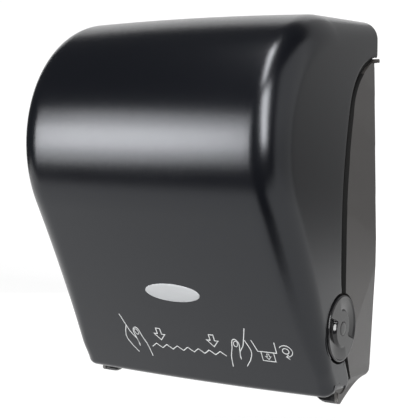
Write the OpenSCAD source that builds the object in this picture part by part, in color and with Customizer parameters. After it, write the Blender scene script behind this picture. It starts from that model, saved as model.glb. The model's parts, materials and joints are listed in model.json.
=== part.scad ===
// Wall-mounted roll towel dispenser: a hinged cover over a pull-and-cut feed module and a roll holder.
// X runs to the right, the front faces -Y, the wall is the plane Y = 0 and Z is up.
// The origin is the centre of the four wall holes, on the back plane. Sizes are in millimetres.
// Inside, t is the distance out from the wall and z the height above the cover's bottom edge.

/* [Cover] */
// Width over the cover's sides
cover_w = 312; // [300:1:330]
// Depth from the wall to the nose
cover_d = 236; // [228:1:250]
// Radius of the nose in side view
nose_r = 135; // [128:1:142]
// Height of the nose arc's centre
nose_z = 258; // [250:1:275]
// Distance of the bottom front corner from the wall
lip_t = 112; // [110:0.5:120]
// Radius of the bottom front corner
lip_r = 11; // [10:0.5:13]
// Length of the flat lip behind that corner
lip_len = 5; // [3:0.5:6]
// Wall of the cover
cover_wall = 3; // [2.5:0.25:3.5]
// Radius of the front edges
edge_r = 32; // [18:1:36]
// Radius of the edges at the rear of the top
rear_edge_r = 20; // [16:1:26]
// Radius of the edges at the bottom lip
lip_edge_r = 10; // [7:0.25:11]
// How far each side draws in towards the nose
side_in = 3; // [0:0.5:14]
// Bow of the front across its width
crown = 3.4; // [1:0.2:4]
// Space between the cover's rear edge and the wall
cover_back = 1; // [0.5:0.25:2]

/* [Parting gap] */
// Distance of the upright part of the gap from the wall
part_t = 85.5; // [84:0.5:87]
// Height at which the gap starts to bow back
part_z = 166; // [160:1:172]
// Radius of that bow
part_bow_r = 490; // [470:5:510]
// Lean at which the bow turns into the tight bend at the top
part_tilt = 15.5; // [14:0.25:17]
// Radius of the tight bend
part_r = 68; // [64:0.5:72]
// Lean of the gap below the knob
part_lean = 26.5; // [22:0.5:30]
// Width of the gap
part_gap = 9; // [8:0.5:10]

/* [Hinge] */
// Distance of the cover's hinge from the wall
hinge_t = 77; // [74:0.5:80]
// Height of the hinge
hinge_z = 14; // [13:0.5:16]
// Radius of the cover's heel around the hinge
heel_r = 8; // [7.5:0.25:9]
// Radius of a hinge pin
hinge_pin_r = 3; // [2:0.25:4]
// Length of a hinge pin's head
pin_head_len = 4; // [2:0.5:6]

/* [Housing] */
// Wall of the housing
shell = 3; // [2.5:0.25:4]
// Space between the cover's side and the inner flange
flange_gap = 3; // [2:0.25:4]
// How far the inner flange reaches past the gap
flange_out = 12; // [8:1:16]
// How far the side bulges past the cover at its crease, by the wall
crease_out = 1; // [0:0.25:2]
// How far the side lies inside the cover at its foot, by the wall
foot_in = 5; // [3:0.25:5.5]
// How far the side lies inside the cover at its foot, by the gap
foot_gap_in = 1; // [0.5:0.25:4]
// How far the side lies inside the cover at its top, by the wall
top_in = 4; // [3:0.25:5]
// Height of the crease
crease_z = 148; // [140:1:160]
// Height of the floor
floor_z = 6.4; // [5:0.2:8]
// Height of the horn tips
horn_z = -10.5; // [-12:0.5:-8]
// Height of the arch of the outlet above the horn tips
arch_h = 5; // [3:0.5:7]

/* [Wall holes] */
// Height of the hole pattern's centre
wall_z = 220; // [215:1:225]
// Spacing of the holes across
wall_dx = 180; // [170:2:184]
// Spacing of the holes in height
wall_dz = 200; // [190:2:206]
// Radius of a wall hole
wall_hole_r = 3; // [2.5:0.25:3.5]
// Radius of the boss round a wall hole
wall_boss_r = 8; // [7:0.5:9]

/* [Feed drum] */
// Radius over the grip bands
drum_r = 40; // [38:0.5:41]
// Length of the drum
drum_len = 208; // [206:1:212]
// Distance of the drum's axis from the wall
drum_t = 91; // [90:0.5:93]
// Height of the drum's axis
drum_z = 72; // [71:0.5:74]
// Radius of the shaft
shaft_r = 5; // [4:0.25:6]
// How far the bands stand out of the drum
band_out = 0.6; // [0.4:0.1:1]
// Width of a grip band
band_w = 14; // [10:1:18]
// Thickness of the drum's wall
drum_wall = 4; // [3.5:0.25:5]
// Thickness of the drum's end discs
drum_end = 6; // [5:0.5:7]

/* [Knob] */
// Radius of the knob
knob_r = 34.5; // [33:0.25:35]
// Gap between knob and pocket
knob_gap = 2; // [1.5:0.25:2.5]
// Thickness of the knob
knob_h = 7.6; // [6:0.2:8]
// Depth of the finger scoops
scoop_d = 4.2; // [3:0.2:4.6]
// Half width of the bar between the scoops
bar_half = 9; // [8:0.5:11]
// Radius of the cap
cap_r = 7.5; // [6:0.25:8]

/* [Knife] */
// Distance of the knife's pivot from the drum's axis
knife_pivot = 26; // [25:0.5:27]
// Length from pivot to cutting edge
knife_len = 19; // [18:0.5:20]
// Angle of the knife at rest, from the radius
knife_rest = 65; // [62:1:68]
// Radius of the knife's pivot pins
knife_pin_r = 2; // [1.5:0.25:2.5]
// Number of teeth on the blade
knife_teeth = 30; // [20:1:40]

/* [Pinch roller] */
// Radius of the pinch roller
pinch_r = 10; // [9:0.5:11]
// Radius of the pinch roller's axle
pinch_axle_r = 3; // [2.5:0.25:3.5]
// Space left for the sheet
nip_gap = 0.3; // [0.3:0.1:0.6]
// Width of a bearing block
block_w = 12; // [11:0.5:14]
// Travel of the bearing blocks
pinch_travel = 2; // [1:0.25:3]
// Length of a pinch spring
pinch_spring_len = 10; // [9:0.5:12]

/* [Module] */
// Thickness of a side plate
plate_th = 3; // [2.5:0.25:4]
// Space between drum and side plate
plate_gap = 4; // [3.5:0.25:5]
// Outer radius of a drum bush
bush_r = 8; // [7:0.25:9]
// Radius of the tie rods
tie_r = 4; // [3:0.5:5]
// Radius of the crank disc
crank_r = 24; // [20:1:26]
// Thickness of the crank disc
crank_th = 3; // [2:0.5:4]
// Space between side plate and crank disc
crank_gap = 3; // [2:0.5:4]
// Throw of the crank pin
crank_throw = 18; // [15:1:19]
// Radius of the crank pin and of the anchor post
crank_pin_r = 3; // [2:0.25:3.5]
// Outer radius of the return spring
spring_r = 5; // [4:0.25:5.5]
// Distance of the spring's anchor from the wall
anchor_t = 40; // [36:1:50]
// Height of the spring's anchor
anchor_z = 160; // [155:1:170]
// Space between the side plates and the chute below them
plate_lift = 1; // [0.5:0.5:3]
// Height of the upper feet
foot_hi = 122; // [116:1:126]
// Half height of a foot
foot_half = 9; // [7:0.5:10]
// Length of the collar of the anchor post
post_collar = 1.5; // [1:0.25:2]
// Distance of the tie rods from the wall
tie_t = 22; // [18:1:26]
// Height of the lower tie rod
tie_lo = 44; // [40:1:60]
// Height of the upper tie rod
tie_hi = 92; // [80:1:96]
// Height of the top of the chute
chute_h = 30; // [26:1:31]
// Radius of a screw
screw_r = 2; // [1.5:0.25:2.5]

/* [Roll holder] */
// Distance of the roll's axis from the wall
roll_t = 108; // [106:1:112]
// Height of the roll's axis
roll_z = 252; // [248:1:256]
// Space between the hub flanges
roll_w = 204; // [200:1:206]
// Radius of the part of a hub that enters the core
core_r = 18; // [16:0.5:20]
// Radius of a hub's flange
hub_flange_r = 28; // [24:1:32]
// Length of the part that enters the core
core_len = 15; // [12:1:18]
// Radius of a stub axle
axle_r = 4; // [3:0.25:5]
// Thickness of an arm
arm_th = 5; // [4:0.5:6]
// Radius of the right arm's pivot pin
arm_pin_r = 2.5; // [2:0.25:3]
// Distance of that pin from the wall
arm_pin_t = 14; // [13:0.5:16]

/* [Lock] */
// Distance of the lock from the wall
lock_t = 30; // [28:1:34]
// Radius of the barrel
lock_r = 9; // [8:0.25:10]
// Radius of the barrel's lower end
lock_end_r = 5; // [4:0.25:5.5]
// Distance of the keeper's post from the lock's axis
hook_r = 11.5; // [11.25:0.25:13]
// Radius of the keeper's post
post_r = 2; // [1.5:0.25:2.25]

/* [Name plate] */
// Width of the oval plate
badge_w = 66; // [50:1:80]
// Height of the oval plate
badge_h = 22.7; // [16:0.1:28]
// Distance of its centre below the nose, along the slant
badge_s = 97; // [80:1:110]
// Offset of its centre across the front
badge_x = 2; // [-4:0.5:4]
// Thickness of the plate
badge_th = 0.8; // [0.5:0.1:1.5]

/* [Fits] */
// Radial clearance of a turning fit
run = 0.05; // [0.02:0.01:0.1]
// Clearance of a fixed fit
seat = 0.02; // [0.01:0.01:0.03]
// Gap between faces that pass each other
play = 0.3; // [0.3:0.05:0.5]

/* [Hidden] */
$fn = 64;
half_w = cover_w / 2;
cover_top = nose_z + nose_r;
nose_t = cover_d - nose_r;
// Lean of the lower front, which runs from the bottom corner to touch the nose
slant = asin(nose_r / norm([nose_t - lip_t, nose_z])) - atan((lip_t - nose_t) / nose_z);
cover_in = half_w - cover_wall;
flange_x1 = cover_in - flange_gap;
flange_x0 = flange_x1 - shell;
half_gap = part_gap / 2;
edge_t = part_t + half_gap;
rim_t = part_t - half_gap;
plate_x0 = drum_len / 2 + plate_gap;
plate_x1 = plate_x0 + plate_th;
knob_x0 = flange_x1 + 2 * play;
knob_x1 = knob_x0 + knob_h;
pocket_r = knob_r + knob_gap;
face_top = [nose_t + nose_r * cos(slant), nose_z - nose_r * sin(slant)];
face_len = face_top[1] / cos(slant);
lip_tan = lip_r * tan((90 - slant) / 2);
lip_c = [face_top[0] - face_len * sin(slant) - lip_tan, lip_r];
pinch_d = drum_r + nip_gap + pinch_r;
pinch_t = drum_t - pinch_d * cos(45);
pinch_z = drum_z + pinch_d * sin(45);
block_back = block_w / 2 + pinch_axle_r + 9;
slot_end = block_back + pinch_spring_len;
slot_at = 200;
knife_t = drum_t + knife_pivot * cos(slot_at) + 5 * sin(slot_at);
knife_z = drum_z + knife_pivot * sin(slot_at) - 5 * cos(slot_at);
knife_dir = slot_at + knife_rest;
drum_core = drum_r - band_out;
channel_x = drum_len / 2 - drum_end;
knife_x = channel_x - 2;
crank_x1 = -plate_x1 - crank_gap;
crank_x0 = crank_x1 - crank_th;
spring_x = (crank_x0 - flange_x0) / 2;
anchor = [anchor_t, anchor_z];
slot_tip = [pinch_t - slot_end * cos(45), pinch_z + slot_end * sin(45)];
plate_low = chute_h + plate_lift;
foot_lo = plate_low + foot_half;
crank_at = atan2(anchor[1] - drum_z, anchor[0] - drum_t);
crank_pin = [drum_t + crank_throw * cos(crank_at), drum_z + crank_throw * sin(crank_at)];
hub_x1 = roll_w / 2 + 2.5;
arm_x0 = hub_x1 + 1.5 * play;
arm_x1 = arm_x0 + arm_th;
hub_x0 = roll_w / 2 - core_len;
axle_tip = hub_x0 - play;
arm_pin_x = arm_x1 + 2;
foot_x = plate_x1 + 11;
cam_z0 = cover_top - 24;
cam_z1 = cam_z0 + 4;
comb_at = -60;
comb_out = drum_r + 8.5;
comb = [drum_t + comb_out * cos(comb_at), drum_z + comb_out * sin(comb_at)];
chute_t = hinge_t - 20;

// A [t, z] outline, drawn out across the width from x0 to x1
module across(x0, x1) {
    translate([x1, 0, -wall_z]) rotate([90, 0, -90]) linear_extrude(x1 - x0) children();
}

// An [x, z] outline, drawn out from the wall from t0 to t1
module facing(t0, t1) {
    translate([0, -t0, -wall_z]) rotate([90, 0, 0]) linear_extrude(t1 - t0) children();
}

// A round bar along X
module rod(x0, x1, c, r) {
    translate([x0, -c[0], c[1] - wall_z]) rotate([0, 90, 0]) cylinder(r = r, h = x1 - x0);
}

// A round bar out from the wall
module stub(t0, t1, x, z, r) {
    translate([x, -t0, z - wall_z]) rotate([90, 0, 0]) cylinder(r = r, h = t1 - t0);
}

// An upright round bar
module upright(x, t, z0, z1, r) {
    translate([x, -t, z0 - wall_z]) cylinder(r = r, h = z1 - z0);
}

// A box between two distances on each axis
module block(x0, x1, t0, t1, z0, z1) {
    translate([x0, -t1, z0 - wall_z]) cube([x1 - x0, t1 - t0, z1 - z0]);
}

module both() {
    children();
    mirror([1, 0, 0]) children();
}

// A frame at a point of the slanted front: x across, y up the slope, z out of it
module on_front(x, s) {
    translate([x, s * sin(slant) - face_top[0], face_top[1] - s * cos(slant) - wall_z])
        rotate([90 + slant, 0, 0]) children();
}

function turn(c, r, a) = [c[0] + r * cos(a), c[1] + r * sin(a)];
function blend(a, b, f) = a + (b - a) * f;
hinge_c = [hinge_t, hinge_z];
drum_c = [drum_t, drum_z];
pinch_c = [pinch_t, pinch_z];
roll_c = [roll_t, roll_z];

// The parting line, moved o towards the front: its bow, its tight bend, its knee and its end round the hinge
bow_c = [part_t - part_bow_r, part_z];
bend_c = turn(bow_c, part_bow_r - part_r, part_tilt);
function bend_start(o, t) = acos((t - bend_c[0]) / (part_r + o));
function bend_at(o, a) = a < part_tilt ? turn(bow_c, part_bow_r + o, a) : turn(bend_c, part_r + o, a);
function bend_line(o) = concat([for (i = [0:7]) bend_at(o, part_tilt * i / 8)],
    [for (i = [0:16]) bend_at(o, blend(part_tilt, bend_start(o, 0), i / 16))]);
function heel_at(o) = heel_r + 0.7 * (half_gap - o);
function heel_top(o) = turn(hinge_c, heel_at(o), 180 - part_lean);
function knee(o) = let (h = heel_top(o))
    [part_t + o, h[1] + (part_t + o - h[0]) / tan(part_lean)];

// Stations along the cover's outline: point, inward direction, edge radius, bow, end of the side wall
top_n = 5;
nose_n = 12;
slant_n = 6;
lip_n = 4;
bend_mid = 52;
upright_end = knee(half_gap)[1];
upright_mid = blend(part_z, upright_end, 0.5);
stations = concat(
    [for (i = [0:top_n]) let (f = i / top_n) [
        [blend(cover_back, nose_t, f), cover_top], [0, -1], blend(rear_edge_r, edge_r, f), crown,
        bend_at(half_gap, blend(bend_start(half_gap, cover_back), bend_mid, f))]],
    [for (i = [1:nose_n]) let (a = 90 - (90 + slant) * i / nose_n) [
        turn([nose_t, nose_z], nose_r, a), [-cos(a), -sin(a)], edge_r, crown,
        i <= 4 ? bend_at(half_gap, blend(bend_mid, part_tilt, i / 4))
            : i <= 8 ? bend_at(half_gap, part_tilt * (2 - i / 4))
            : [edge_t, blend(part_z, upright_mid, (i - 8) / (nose_n - 8))]]],
    [for (i = [1:slant_n]) let (f = i / slant_n, s = (face_len - lip_tan) * f) [
        [face_top[0] - s * sin(slant), face_top[1] - s * cos(slant)], [-cos(slant), sin(slant)],
        blend(edge_r, lip_edge_r, pow(f, 2)), blend(crown, 0.6 * crown, f),
        i <= 3 ? [edge_t, blend(upright_mid, upright_end, i / 3)]
            : blend(knee(half_gap), heel_top(half_gap), (i - 3) / 3)]],
    [for (i = [1:lip_n]) let (a = -slant - (90 - slant) * i / lip_n) [
        turn(lip_c, lip_r, a), [-cos(a), -sin(a)], lip_edge_r - i / 2, 0.6 * crown,
        turn(hinge_c, heel_r, 180 - part_lean + (90 + part_lean) * i / 5)]],
    [[[lip_c[0] - lip_len, 0], [0, 1], lip_edge_r - 3, 0.6 * crown, turn(hinge_c, heel_r, 270)]]);

function spot(x, p) = [x, -p[0], p[1] - wall_z];
function bow(c, x) = c * pow(x / half_w, 2);
// Half width of the cover at a distance from the wall
function side_x(t) = half_w - side_in * pow(max(0, t - edge_t) / (cover_d - edge_t), 2);
// Half of a ring, from the side wall's end to just short of the middle, w inside the outer skin
function half_ring(s, w, side) = let (
    r = s[2],
    deep = bow(s[3], half_w - r) + r,
    start = s[0] + s[1] * deep,
    mid = blend(s[4], start, 0.5),
    flat = side_x(start[0]) - r) concat(
    [spot(side * (half_w - w), s[4]), spot(side * (side_x(mid[0]) - w), mid)],
    [for (k = [0:4]) spot(side * (flat + (r - w) * cos(22.5 * k)),
        s[0] + s[1] * (deep - (r - w) * sin(22.5 * k)))],
    [spot(side * flat / 2, s[0] + s[1] * (bow(s[3], flat / 2) + w))]);
function flip(v) = [for (i = [len(v) - 1:-1:0]) v[i]];
function skin(s, w) = concat(half_ring(s, w, 1), [spot(0, s[0] + s[1] * w)], flip(half_ring(s, w, -1)));
function ring(s) = concat(skin(s, 0), flip(skin(s, cover_wall)));

module cover_shell() {
    m = 34;
    last = (len(stations) - 1) * m;
    skins = [for (i = [0:len(stations) - 2], j = [0:m - 1]) let (
        a = i * m + j,
        b = i * m + (j + 1) % m) each [[a, a + m, b + m], [a, b + m, b]]];
    ends = [for (j = [0:m / 2 - 2]) each [
        [j, j + 1, m - 2 - j], [j, m - 2 - j, m - 1 - j],
        [last + j + 1, last + j, last + m - 2 - j], [last + m - 2 - j, last + j, last + m - 1 - j]]];
    polyhedron(points = [for (s = stations) each ring(s)], faces = concat(skins, ends), convexity = 10);
}

module front_cover() {
    color([0.2, 0.21, 0.22]) difference() {
        union() {
            cover_shell();
            both() rod(flange_x1 + play, cover_in + 0.5, hinge_c, heel_r - 1);
        }
        both() rod(flange_x1, cover_in + cover_wall / 2, hinge_c, hinge_pin_r + run);
        rod(flange_x1 + play, half_w + 5, drum_c, pocket_r);
        upright(0, lock_t, cover_top - 2 * cover_wall, cover_top + 2, lock_r + run);
    }
}

module name_badge() {
    color([0.82, 0.83, 0.83]) on_front(badge_x, badge_s)
        linear_extrude(badge_th)
            polygon([for (i = [0:47]) [badge_w / 2 * cos(7.5 * i), badge_h / 2 * sin(7.5 * i)]]);
}

// The housing's bottom edge, from the wall to the horn's front
horn_t = hinge_t + 3;
function sole(t) = t < 20 ? floor_z : blend(floor_z, horn_z, pow((t - 20) / (horn_t - 20), 1.6));
sole_pts = concat(
    [[0, floor_z + 10], [3, floor_z + 3], [10, floor_z]],
    [for (i = [0:8]) let (t = blend(20, horn_t, i / 8)) [t, sole(t)]],
    [[hinge_t + 6.5, horn_z + 0.5], [hinge_t + 8.5, horn_z + 2.5], [hinge_t + 8.2, horn_z + 6.5]]);

// The housing's side as seen from the side, o short of or past the parting line
module side_outline(o) {
    polygon(concat(sole_pts,
        [for (i = [0:16]) turn(hinge_c, heel_at(o), blend(305, 180 - part_lean, i / 16))],
        [knee(o)],
        bend_line(o)));
}

module flange_outline() {
    polygon(concat(sole_pts,
        [[hinge_t + 12, hinge_z - 6], [hinge_t + 13, hinge_z + 10], [part_t + flange_out, 60]],
        bend_line(flange_out)));
    translate(drum_c) circle(r = pocket_r + 0.5);
}

// The block that a side is cut from, moved in by d: at each height, its width by the wall and by the gap.
// It spreads from the horns to the cover between two heights, above the path of the cover's turning lip.
spread_z = [hinge_z - 9, hinge_z + 4];
spread_in = blend(-foot_in, crease_out, (spread_z[1] - spread_z[0]) / (crease_z - spread_z[0]));
crease = [crease_z, crease_out, crease_out / 2];
side_top = [bend_c[1] + part_r + 10, -top_in, 0];
side_n = 4;
side_levels = concat([[horn_z - 5, -foot_in, -foot_in], [spread_z[0], -foot_in, -foot_in],
    [spread_z[1], spread_in, -foot_gap_in]], [for (i = [0:side_n]) blend(crease, side_top, i / side_n)]);
module side_block(d) {
    over = 20 / rim_t;
    last = 4 * (len(side_levels) - 1);
    polyhedron(
        points = [for (v = side_levels) each [
            spot(half_w - d + blend(v[1], v[2], -over), [-20, v[0]]),
            spot(half_w - d + blend(v[1], v[2], 1 + over), [rim_t + 20, v[0]]),
            spot(flange_x0 - 5, [rim_t + 20, v[0]]),
            spot(flange_x0 - 5, [-20, v[0]])]],
        faces = concat(
            [[0, 2, 1], [0, 3, 2], [last, last + 1, last + 2], [last, last + 2, last + 3]],
            [for (i = [0:len(side_levels) - 2], j = [0:3]) let (a = 4 * i + j, b = 4 * i + (j + 1) % 4)
                each i == 2 && j == 0 ? [[a, b, a + 4], [a + 4, b, b + 4]]
                    : [[a, b + 4, a + 4], [a, b, b + 4]]]),
        convexity = 4);
}

// The side's upper edge curls up to a tip that turns out close under the cover's rear edge
tip_t = 2.7;
tip_r = 2.2;
tip_gap = 1;
tip_out = 2.5;
curl_start = 60;
tip_c = bend_at(half_gap, bend_start(half_gap, tip_t)) - [0, tip_gap + tip_r];
module curl() {
    curl_end = bend_start(-half_gap, cover_back / 2);
    rise = tip_c[1] + tip_r / 2 - bend_at(-half_gap, curl_end)[1];
    polygon(concat(
        [for (i = [0:8]) bend_at(-half_gap - 1, blend(curl_start, curl_end, i / 8))],
        [for (i = [8:-1:0]) bend_at(rise * pow(i / 8, 2) - half_gap, blend(curl_start, curl_end, i / 8))]));
}

module side_wall(pocket) {
    difference() {
        intersection() {
            across(flange_x0, half_w + 10) {
                side_outline(-half_gap);
                curl();
            }
            side_block(0);
        }
        intersection() {
            across(flange_x1, half_w + 10) difference() {
                translate([-shell, 0]) side_outline(-half_gap);
                translate([-200, -200]) square([400, 200 + hinge_z + 20]);
                translate(drum_c) circle(r = pocket_r + shell);
            }
            side_block(shell);
        }
        if (pocket) rod(flange_x1, half_w + 20, drum_c, pocket_r);
    }
    difference() {
        across(flange_x0, flange_x1) flange_outline();
        if (pocket) rod(flange_x0 - 1, flange_x1 + 1, drum_c, shaft_r + 1.5);
    }
    across(flange_x1, half_w + tip_out) translate(tip_c) circle(r = tip_r);
}

plate_top = cover_top - cover_wall - crown - 3.5;
plate_corner = rear_edge_r - cover_wall - 2;
plate_side = cover_in - flange_gap - 1;
// Height above which the back plate fills the cover's width
plate_z = bend_c[1];

module back_plate() {
    facing(0, shell) {
        translate([-flange_x0, floor_z + 2]) square([2 * flange_x0, plate_z - floor_z]);
        translate([-plate_side, plate_z])
            square([2 * plate_side, plate_top - plate_corner - plate_z]);
        translate([plate_corner - plate_side, plate_z])
            square([2 * (plate_side - plate_corner), plate_top - plate_z]);
        for (s = [-1, 1]) translate([s * (plate_side - plate_corner), plate_top - plate_corner])
            circle(r = plate_corner);
    }
    for (x = [-1, 1], z = [-1, 1])
        stub(0, 2 * shell, x * wall_dx / 2, wall_z + z * wall_dz / 2, wall_boss_r);
}

function band(t0, t1, h) = concat([for (i = [0:8]) let (t = blend(t0, t1, i / 8)) [t, sole(t)]],
    [for (i = [8:-1:0]) let (t = blend(t0, t1, i / 8)) [t, sole(t) + h]]);

// Screws: module feet, then roll arms; each [x, z]
module_holes = [for (s = [-1, 1], z = [foot_lo, foot_hi]) [s * (foot_x - 6), z]];
arm_holes = [for (z = [-14, 14]) each [[-arm_x1 - 8, roll_z + z], [arm_pin_x + 12, roll_z + z]]];

module rear_housing() {
    color([0.3, 0.29, 0.28]) difference() {
        union() {
            back_plate();
            side_wall(true);
            mirror([1, 0, 0]) side_wall(false);
            across(-flange_x0, flange_x0) polygon(band(shell - 1, chute_t, shell));
        }
        for (x = [-1, 1], z = [-1, 1])
            stub(-1, 2 * shell + 1, x * wall_dx / 2, wall_z + z * wall_dz / 2, wall_hole_r);
        both() rod(flange_x0 - 1, flange_x1 + 1, hinge_c, hinge_pin_r + seat);
        rod(-flange_x1 - 1, -flange_x0 + 1, anchor, crank_pin_r + seat);
        for (p = concat(module_holes, arm_holes)) stub(-1, shell + 1, p[0], p[1], screw_r + seat);
    }
}

chute_x = flange_x0 - pin_head_len - 1;
function slide_pts(d) = [[chute_t + 5 + d, chute_h], [chute_t + 9 + d, chute_h - 12],
    [chute_t + 15 + d, chute_h - 22], [chute_t + 22 + d, chute_h - 31], [hinge_t + 8, horn_z + 3]];

module chute() {
    arch_r = (pow(chute_x, 2) + pow(arch_h, 2)) / (2 * arch_h);
    color([0.13, 0.13, 0.14]) difference() {
        union() {
            across(-chute_x, chute_x) polygon(concat(
                [for (i = [0:6]) let (t = blend(chute_t, hinge_t + 5, i / 6))
                    [t, max(sole(min(t, horn_t)), horn_z)]],
                flip(slide_pts(0)),
                [[chute_t + 1, chute_h], [chute_t, chute_h - 18]]));
            for (i = [-5:5]) across(i * chute_x / 5.5 - 1, i * chute_x / 5.5 + 1) polygon(concat(
                [[chute_t + 4, chute_h]], slide_pts(1.6),
                [[hinge_t + 5, horn_z + 2], [chute_t + 8, chute_h - 20]]));
            // Its ends reach the horns below the heads of the hinge pins
            across(play - flange_x0, flange_x0 - play) polygon(concat(
                [for (i = [0:4]) let (t = blend(hinge_t - 12, hinge_t + 5, i / 4))
                    [t, max(sole(min(t, horn_t)), horn_z)]],
                [[hinge_t + 8, horn_z + 3], [hinge_t + 4, horn_z + 10], [hinge_t - 12, horn_z + 12]]));
        }
        stub(0, part_t + 30, 0, horn_z + arch_h - arch_r, arch_r, $fn = 1800);
    }
}

module hinge_pins() {
    color([0.7, 0.71, 0.72]) both() {
        rod(flange_x0 - pin_head_len, cover_in + cover_wall / 2 - play, hinge_c, hinge_pin_r);
        rod(flange_x0 - pin_head_len, flange_x0, hinge_c, 2 * hinge_pin_r);
    }
}

module keeper() {
    post_t = lock_t - hook_r;
    color([0.72, 0.73, 0.74]) {
        block(-12, 12, shell, shell + 2, cam_z0 - 22, cam_z0 - 2);
        block(-6, 6, shell + 2, post_t + post_r + 2, cam_z0 - 5, cam_z0 - 2);
        upright(0, post_t, cam_z0 - 3, cam_z1 + 2, post_r);
    }
}

// Outline shared by both side plates, from the wall over the pinch slot and down to the comb
module plate_outline() {
    polygon([[shell, plate_low], [shell, slot_tip[1] + 10], [slot_tip[0] - 16, slot_tip[1] + 20],
        [slot_tip[0] + 8, slot_tip[1] + 20], [pinch_t + 22, pinch_z + 22], [drum_t + 27, drum_z + 32],
        [drum_t + 37, drum_z + 8], [comb[0] + 8, comb[1] + 5], [comb[0] + 6, comb[1] - 4],
        [comb[0] - 3, comb[1] - 8], [chute_t + 27, comb[1] - 8], [chute_t + 9, plate_low]]);
}

module pinch_frame() {
    translate(pinch_c) rotate(135) children();
}

module side_plate() {
    difference() {
        union() {
            across(plate_x0, plate_x1) difference() {
                plate_outline();
                translate(drum_c) circle(r = bush_r);
                pinch_frame() translate([-block_w / 2 - 0.1, -block_w / 2 - 0.1])
                    square([slot_end + block_w / 2 + 0.1, block_w + 0.2]);
            }
            for (z = [foot_lo, foot_hi])
                block(plate_x1 - 0.5, foot_x, shell, 2 * shell, z - foot_half, z + foot_half);
        }
        for (z = [foot_lo, foot_hi]) stub(0, 3 * shell, foot_x - 6, z, screw_r + seat);
    }
}

module plate_right() {
    color([0.62, 0.63, 0.65]) side_plate();
}

module plate_left() {
    color([0.62, 0.63, 0.65]) mirror([1, 0, 0]) side_plate();
}

module tie_rods() {
    color([0.7, 0.71, 0.72]) for (z = [tie_lo, tie_hi]) rod(-plate_x0, plate_x0, [tie_t, z], tie_r);
}

module screw(x, z, t) {
    stub(shell / 4, t + 1, x, z, screw_r);
    stub(t, t + 2.2, x, z, 2 * screw_r);
}

module module_screws() {
    color([0.75, 0.75, 0.76]) for (p = module_holes) screw(p[0], p[1], 2 * shell);
}

module arm_screws() {
    color([0.75, 0.75, 0.76]) for (p = arm_holes) screw(p[0], p[1], 2 * shell);
}

module drum_bushes() {
    color([0.9, 0.88, 0.82]) both() difference() {
        union() {
            rod(plate_x0 - plate_gap + 1, plate_x0, drum_c, bush_r + 2.5);
            rod(plate_x0 - 1, plate_x1 + 1, drum_c, bush_r - seat);
        }
        rod(plate_x0 - plate_gap, plate_x1 + 2, drum_c, shaft_r + run);
    }
}

module stripper() {
    teeth = 13;
    pitch = 2 * plate_x0 / teeth;
    color([0.15, 0.15, 0.16]) {
        across(-plate_x0, plate_x0) translate(drum_c) rotate(comb_at)
            translate([comb_out - 2.5, -4]) square([5, 8]);
        for (i = [0:teeth - 1]) across(-plate_x0 + (i + 0.3) * pitch, -plate_x0 + (i + 0.7) * pitch)
            translate(drum_c) rotate(comb_at)
                polygon([[drum_r + 0.8, 3], [drum_r + 7, 4], [drum_r + 7, -4], [drum_r + 4, -4]]);
    }
}

module spring_post() {
    color([0.7, 0.71, 0.72]) {
        rod(-flange_x1, spring_x + 3, anchor, crank_pin_r);
        rod(-flange_x0, -flange_x0 + post_collar, anchor, crank_pin_r + 3);
    }
}

module return_spring() {
    far = norm(anchor - crank_pin);
    eye = crank_pin_r + play;
    color([0.66, 0.67, 0.68]) {
        for (c = [anchor, crank_pin]) across(spring_x - 0.6, spring_x + 0.6) translate(c) difference() {
            circle(r = eye + 1.3);
            circle(r = eye);
        }
        translate([spring_x, -crank_pin[0], crank_pin[1] - wall_z])
            rotate([90 - crank_at, 0, 0])
                translate([0, 0, eye + 0.9]) difference() {
                    cylinder(r = spring_r, h = far - 2 * eye - 1.8);
                    translate([0, 0, 1.2]) cylinder(r = spring_r - 1.2, h = far - 2 * eye - 4.2);
                }
    }
}

// Outline of a roll arm from t0 outward, narrowed to half height h at its root
module arm_outline(t0, h) {
    translate(roll_c) circle(r = 14);
    polygon([[t0, roll_z - h], [t0, roll_z + h], [t0 + 16, roll_z + h], [roll_t - 6, roll_z + 12.6],
        [roll_t - 6, roll_z - 12.6], [t0 + 16, roll_z - h]]);
}

module arm_left() {
    color([0.16, 0.16, 0.17]) difference() {
        union() {
            across(-arm_x1, -arm_x0) arm_outline(shell, 24);
            block(-arm_x1 - 14, -arm_x1 + 0.5, shell, 2 * shell, roll_z - 24, roll_z + 24);
        }
        rod(-arm_x1 - 1, -arm_x0 + 1, roll_c, axle_r + seat);
        for (p = arm_holes) if (p[0] < 0) stub(0, 3 * shell, p[0], p[1], screw_r + seat);
    }
}

module axle() {
    rod(axle_tip, arm_x1, roll_c, axle_r);
    rod(axle_tip - 1.6, axle_tip, roll_c, axle_r + 2);
}

module axle_left() {
    color([0.7, 0.71, 0.72]) mirror([1, 0, 0]) axle();
}

module axle_right() {
    color([0.7, 0.71, 0.72]) axle();
}

knuckle = [roll_z - 16, roll_z + 8];
ear_gap = 19;

module arm_bracket() {
    color([0.16, 0.16, 0.17]) difference() {
        union() {
            block(arm_pin_x - 6, arm_pin_x + 18, shell, 2 * shell,
                roll_z - ear_gap - 8, roll_z + ear_gap + 8);
            for (z = [roll_z - ear_gap - 7, roll_z + ear_gap])
                block(arm_pin_x - 6, arm_pin_x + 6, 2 * shell - 0.5, arm_pin_t + 6, z, z + 7);
        }
        upright(arm_pin_x, arm_pin_t, roll_z - 40, roll_z + 40, arm_pin_r + seat);
        for (p = arm_holes) if (p[0] > 0) stub(0, 3 * shell, p[0], p[1], screw_r + seat);
    }
}

module arm_pin() {
    color([0.75, 0.75, 0.76]) {
        upright(arm_pin_x, arm_pin_t, roll_z - ear_gap - 7, roll_z + ear_gap + 7, arm_pin_r);
        upright(arm_pin_x, arm_pin_t, roll_z + ear_gap + 7, roll_z + ear_gap + 9, arm_pin_r + 2);
    }
}

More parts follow.
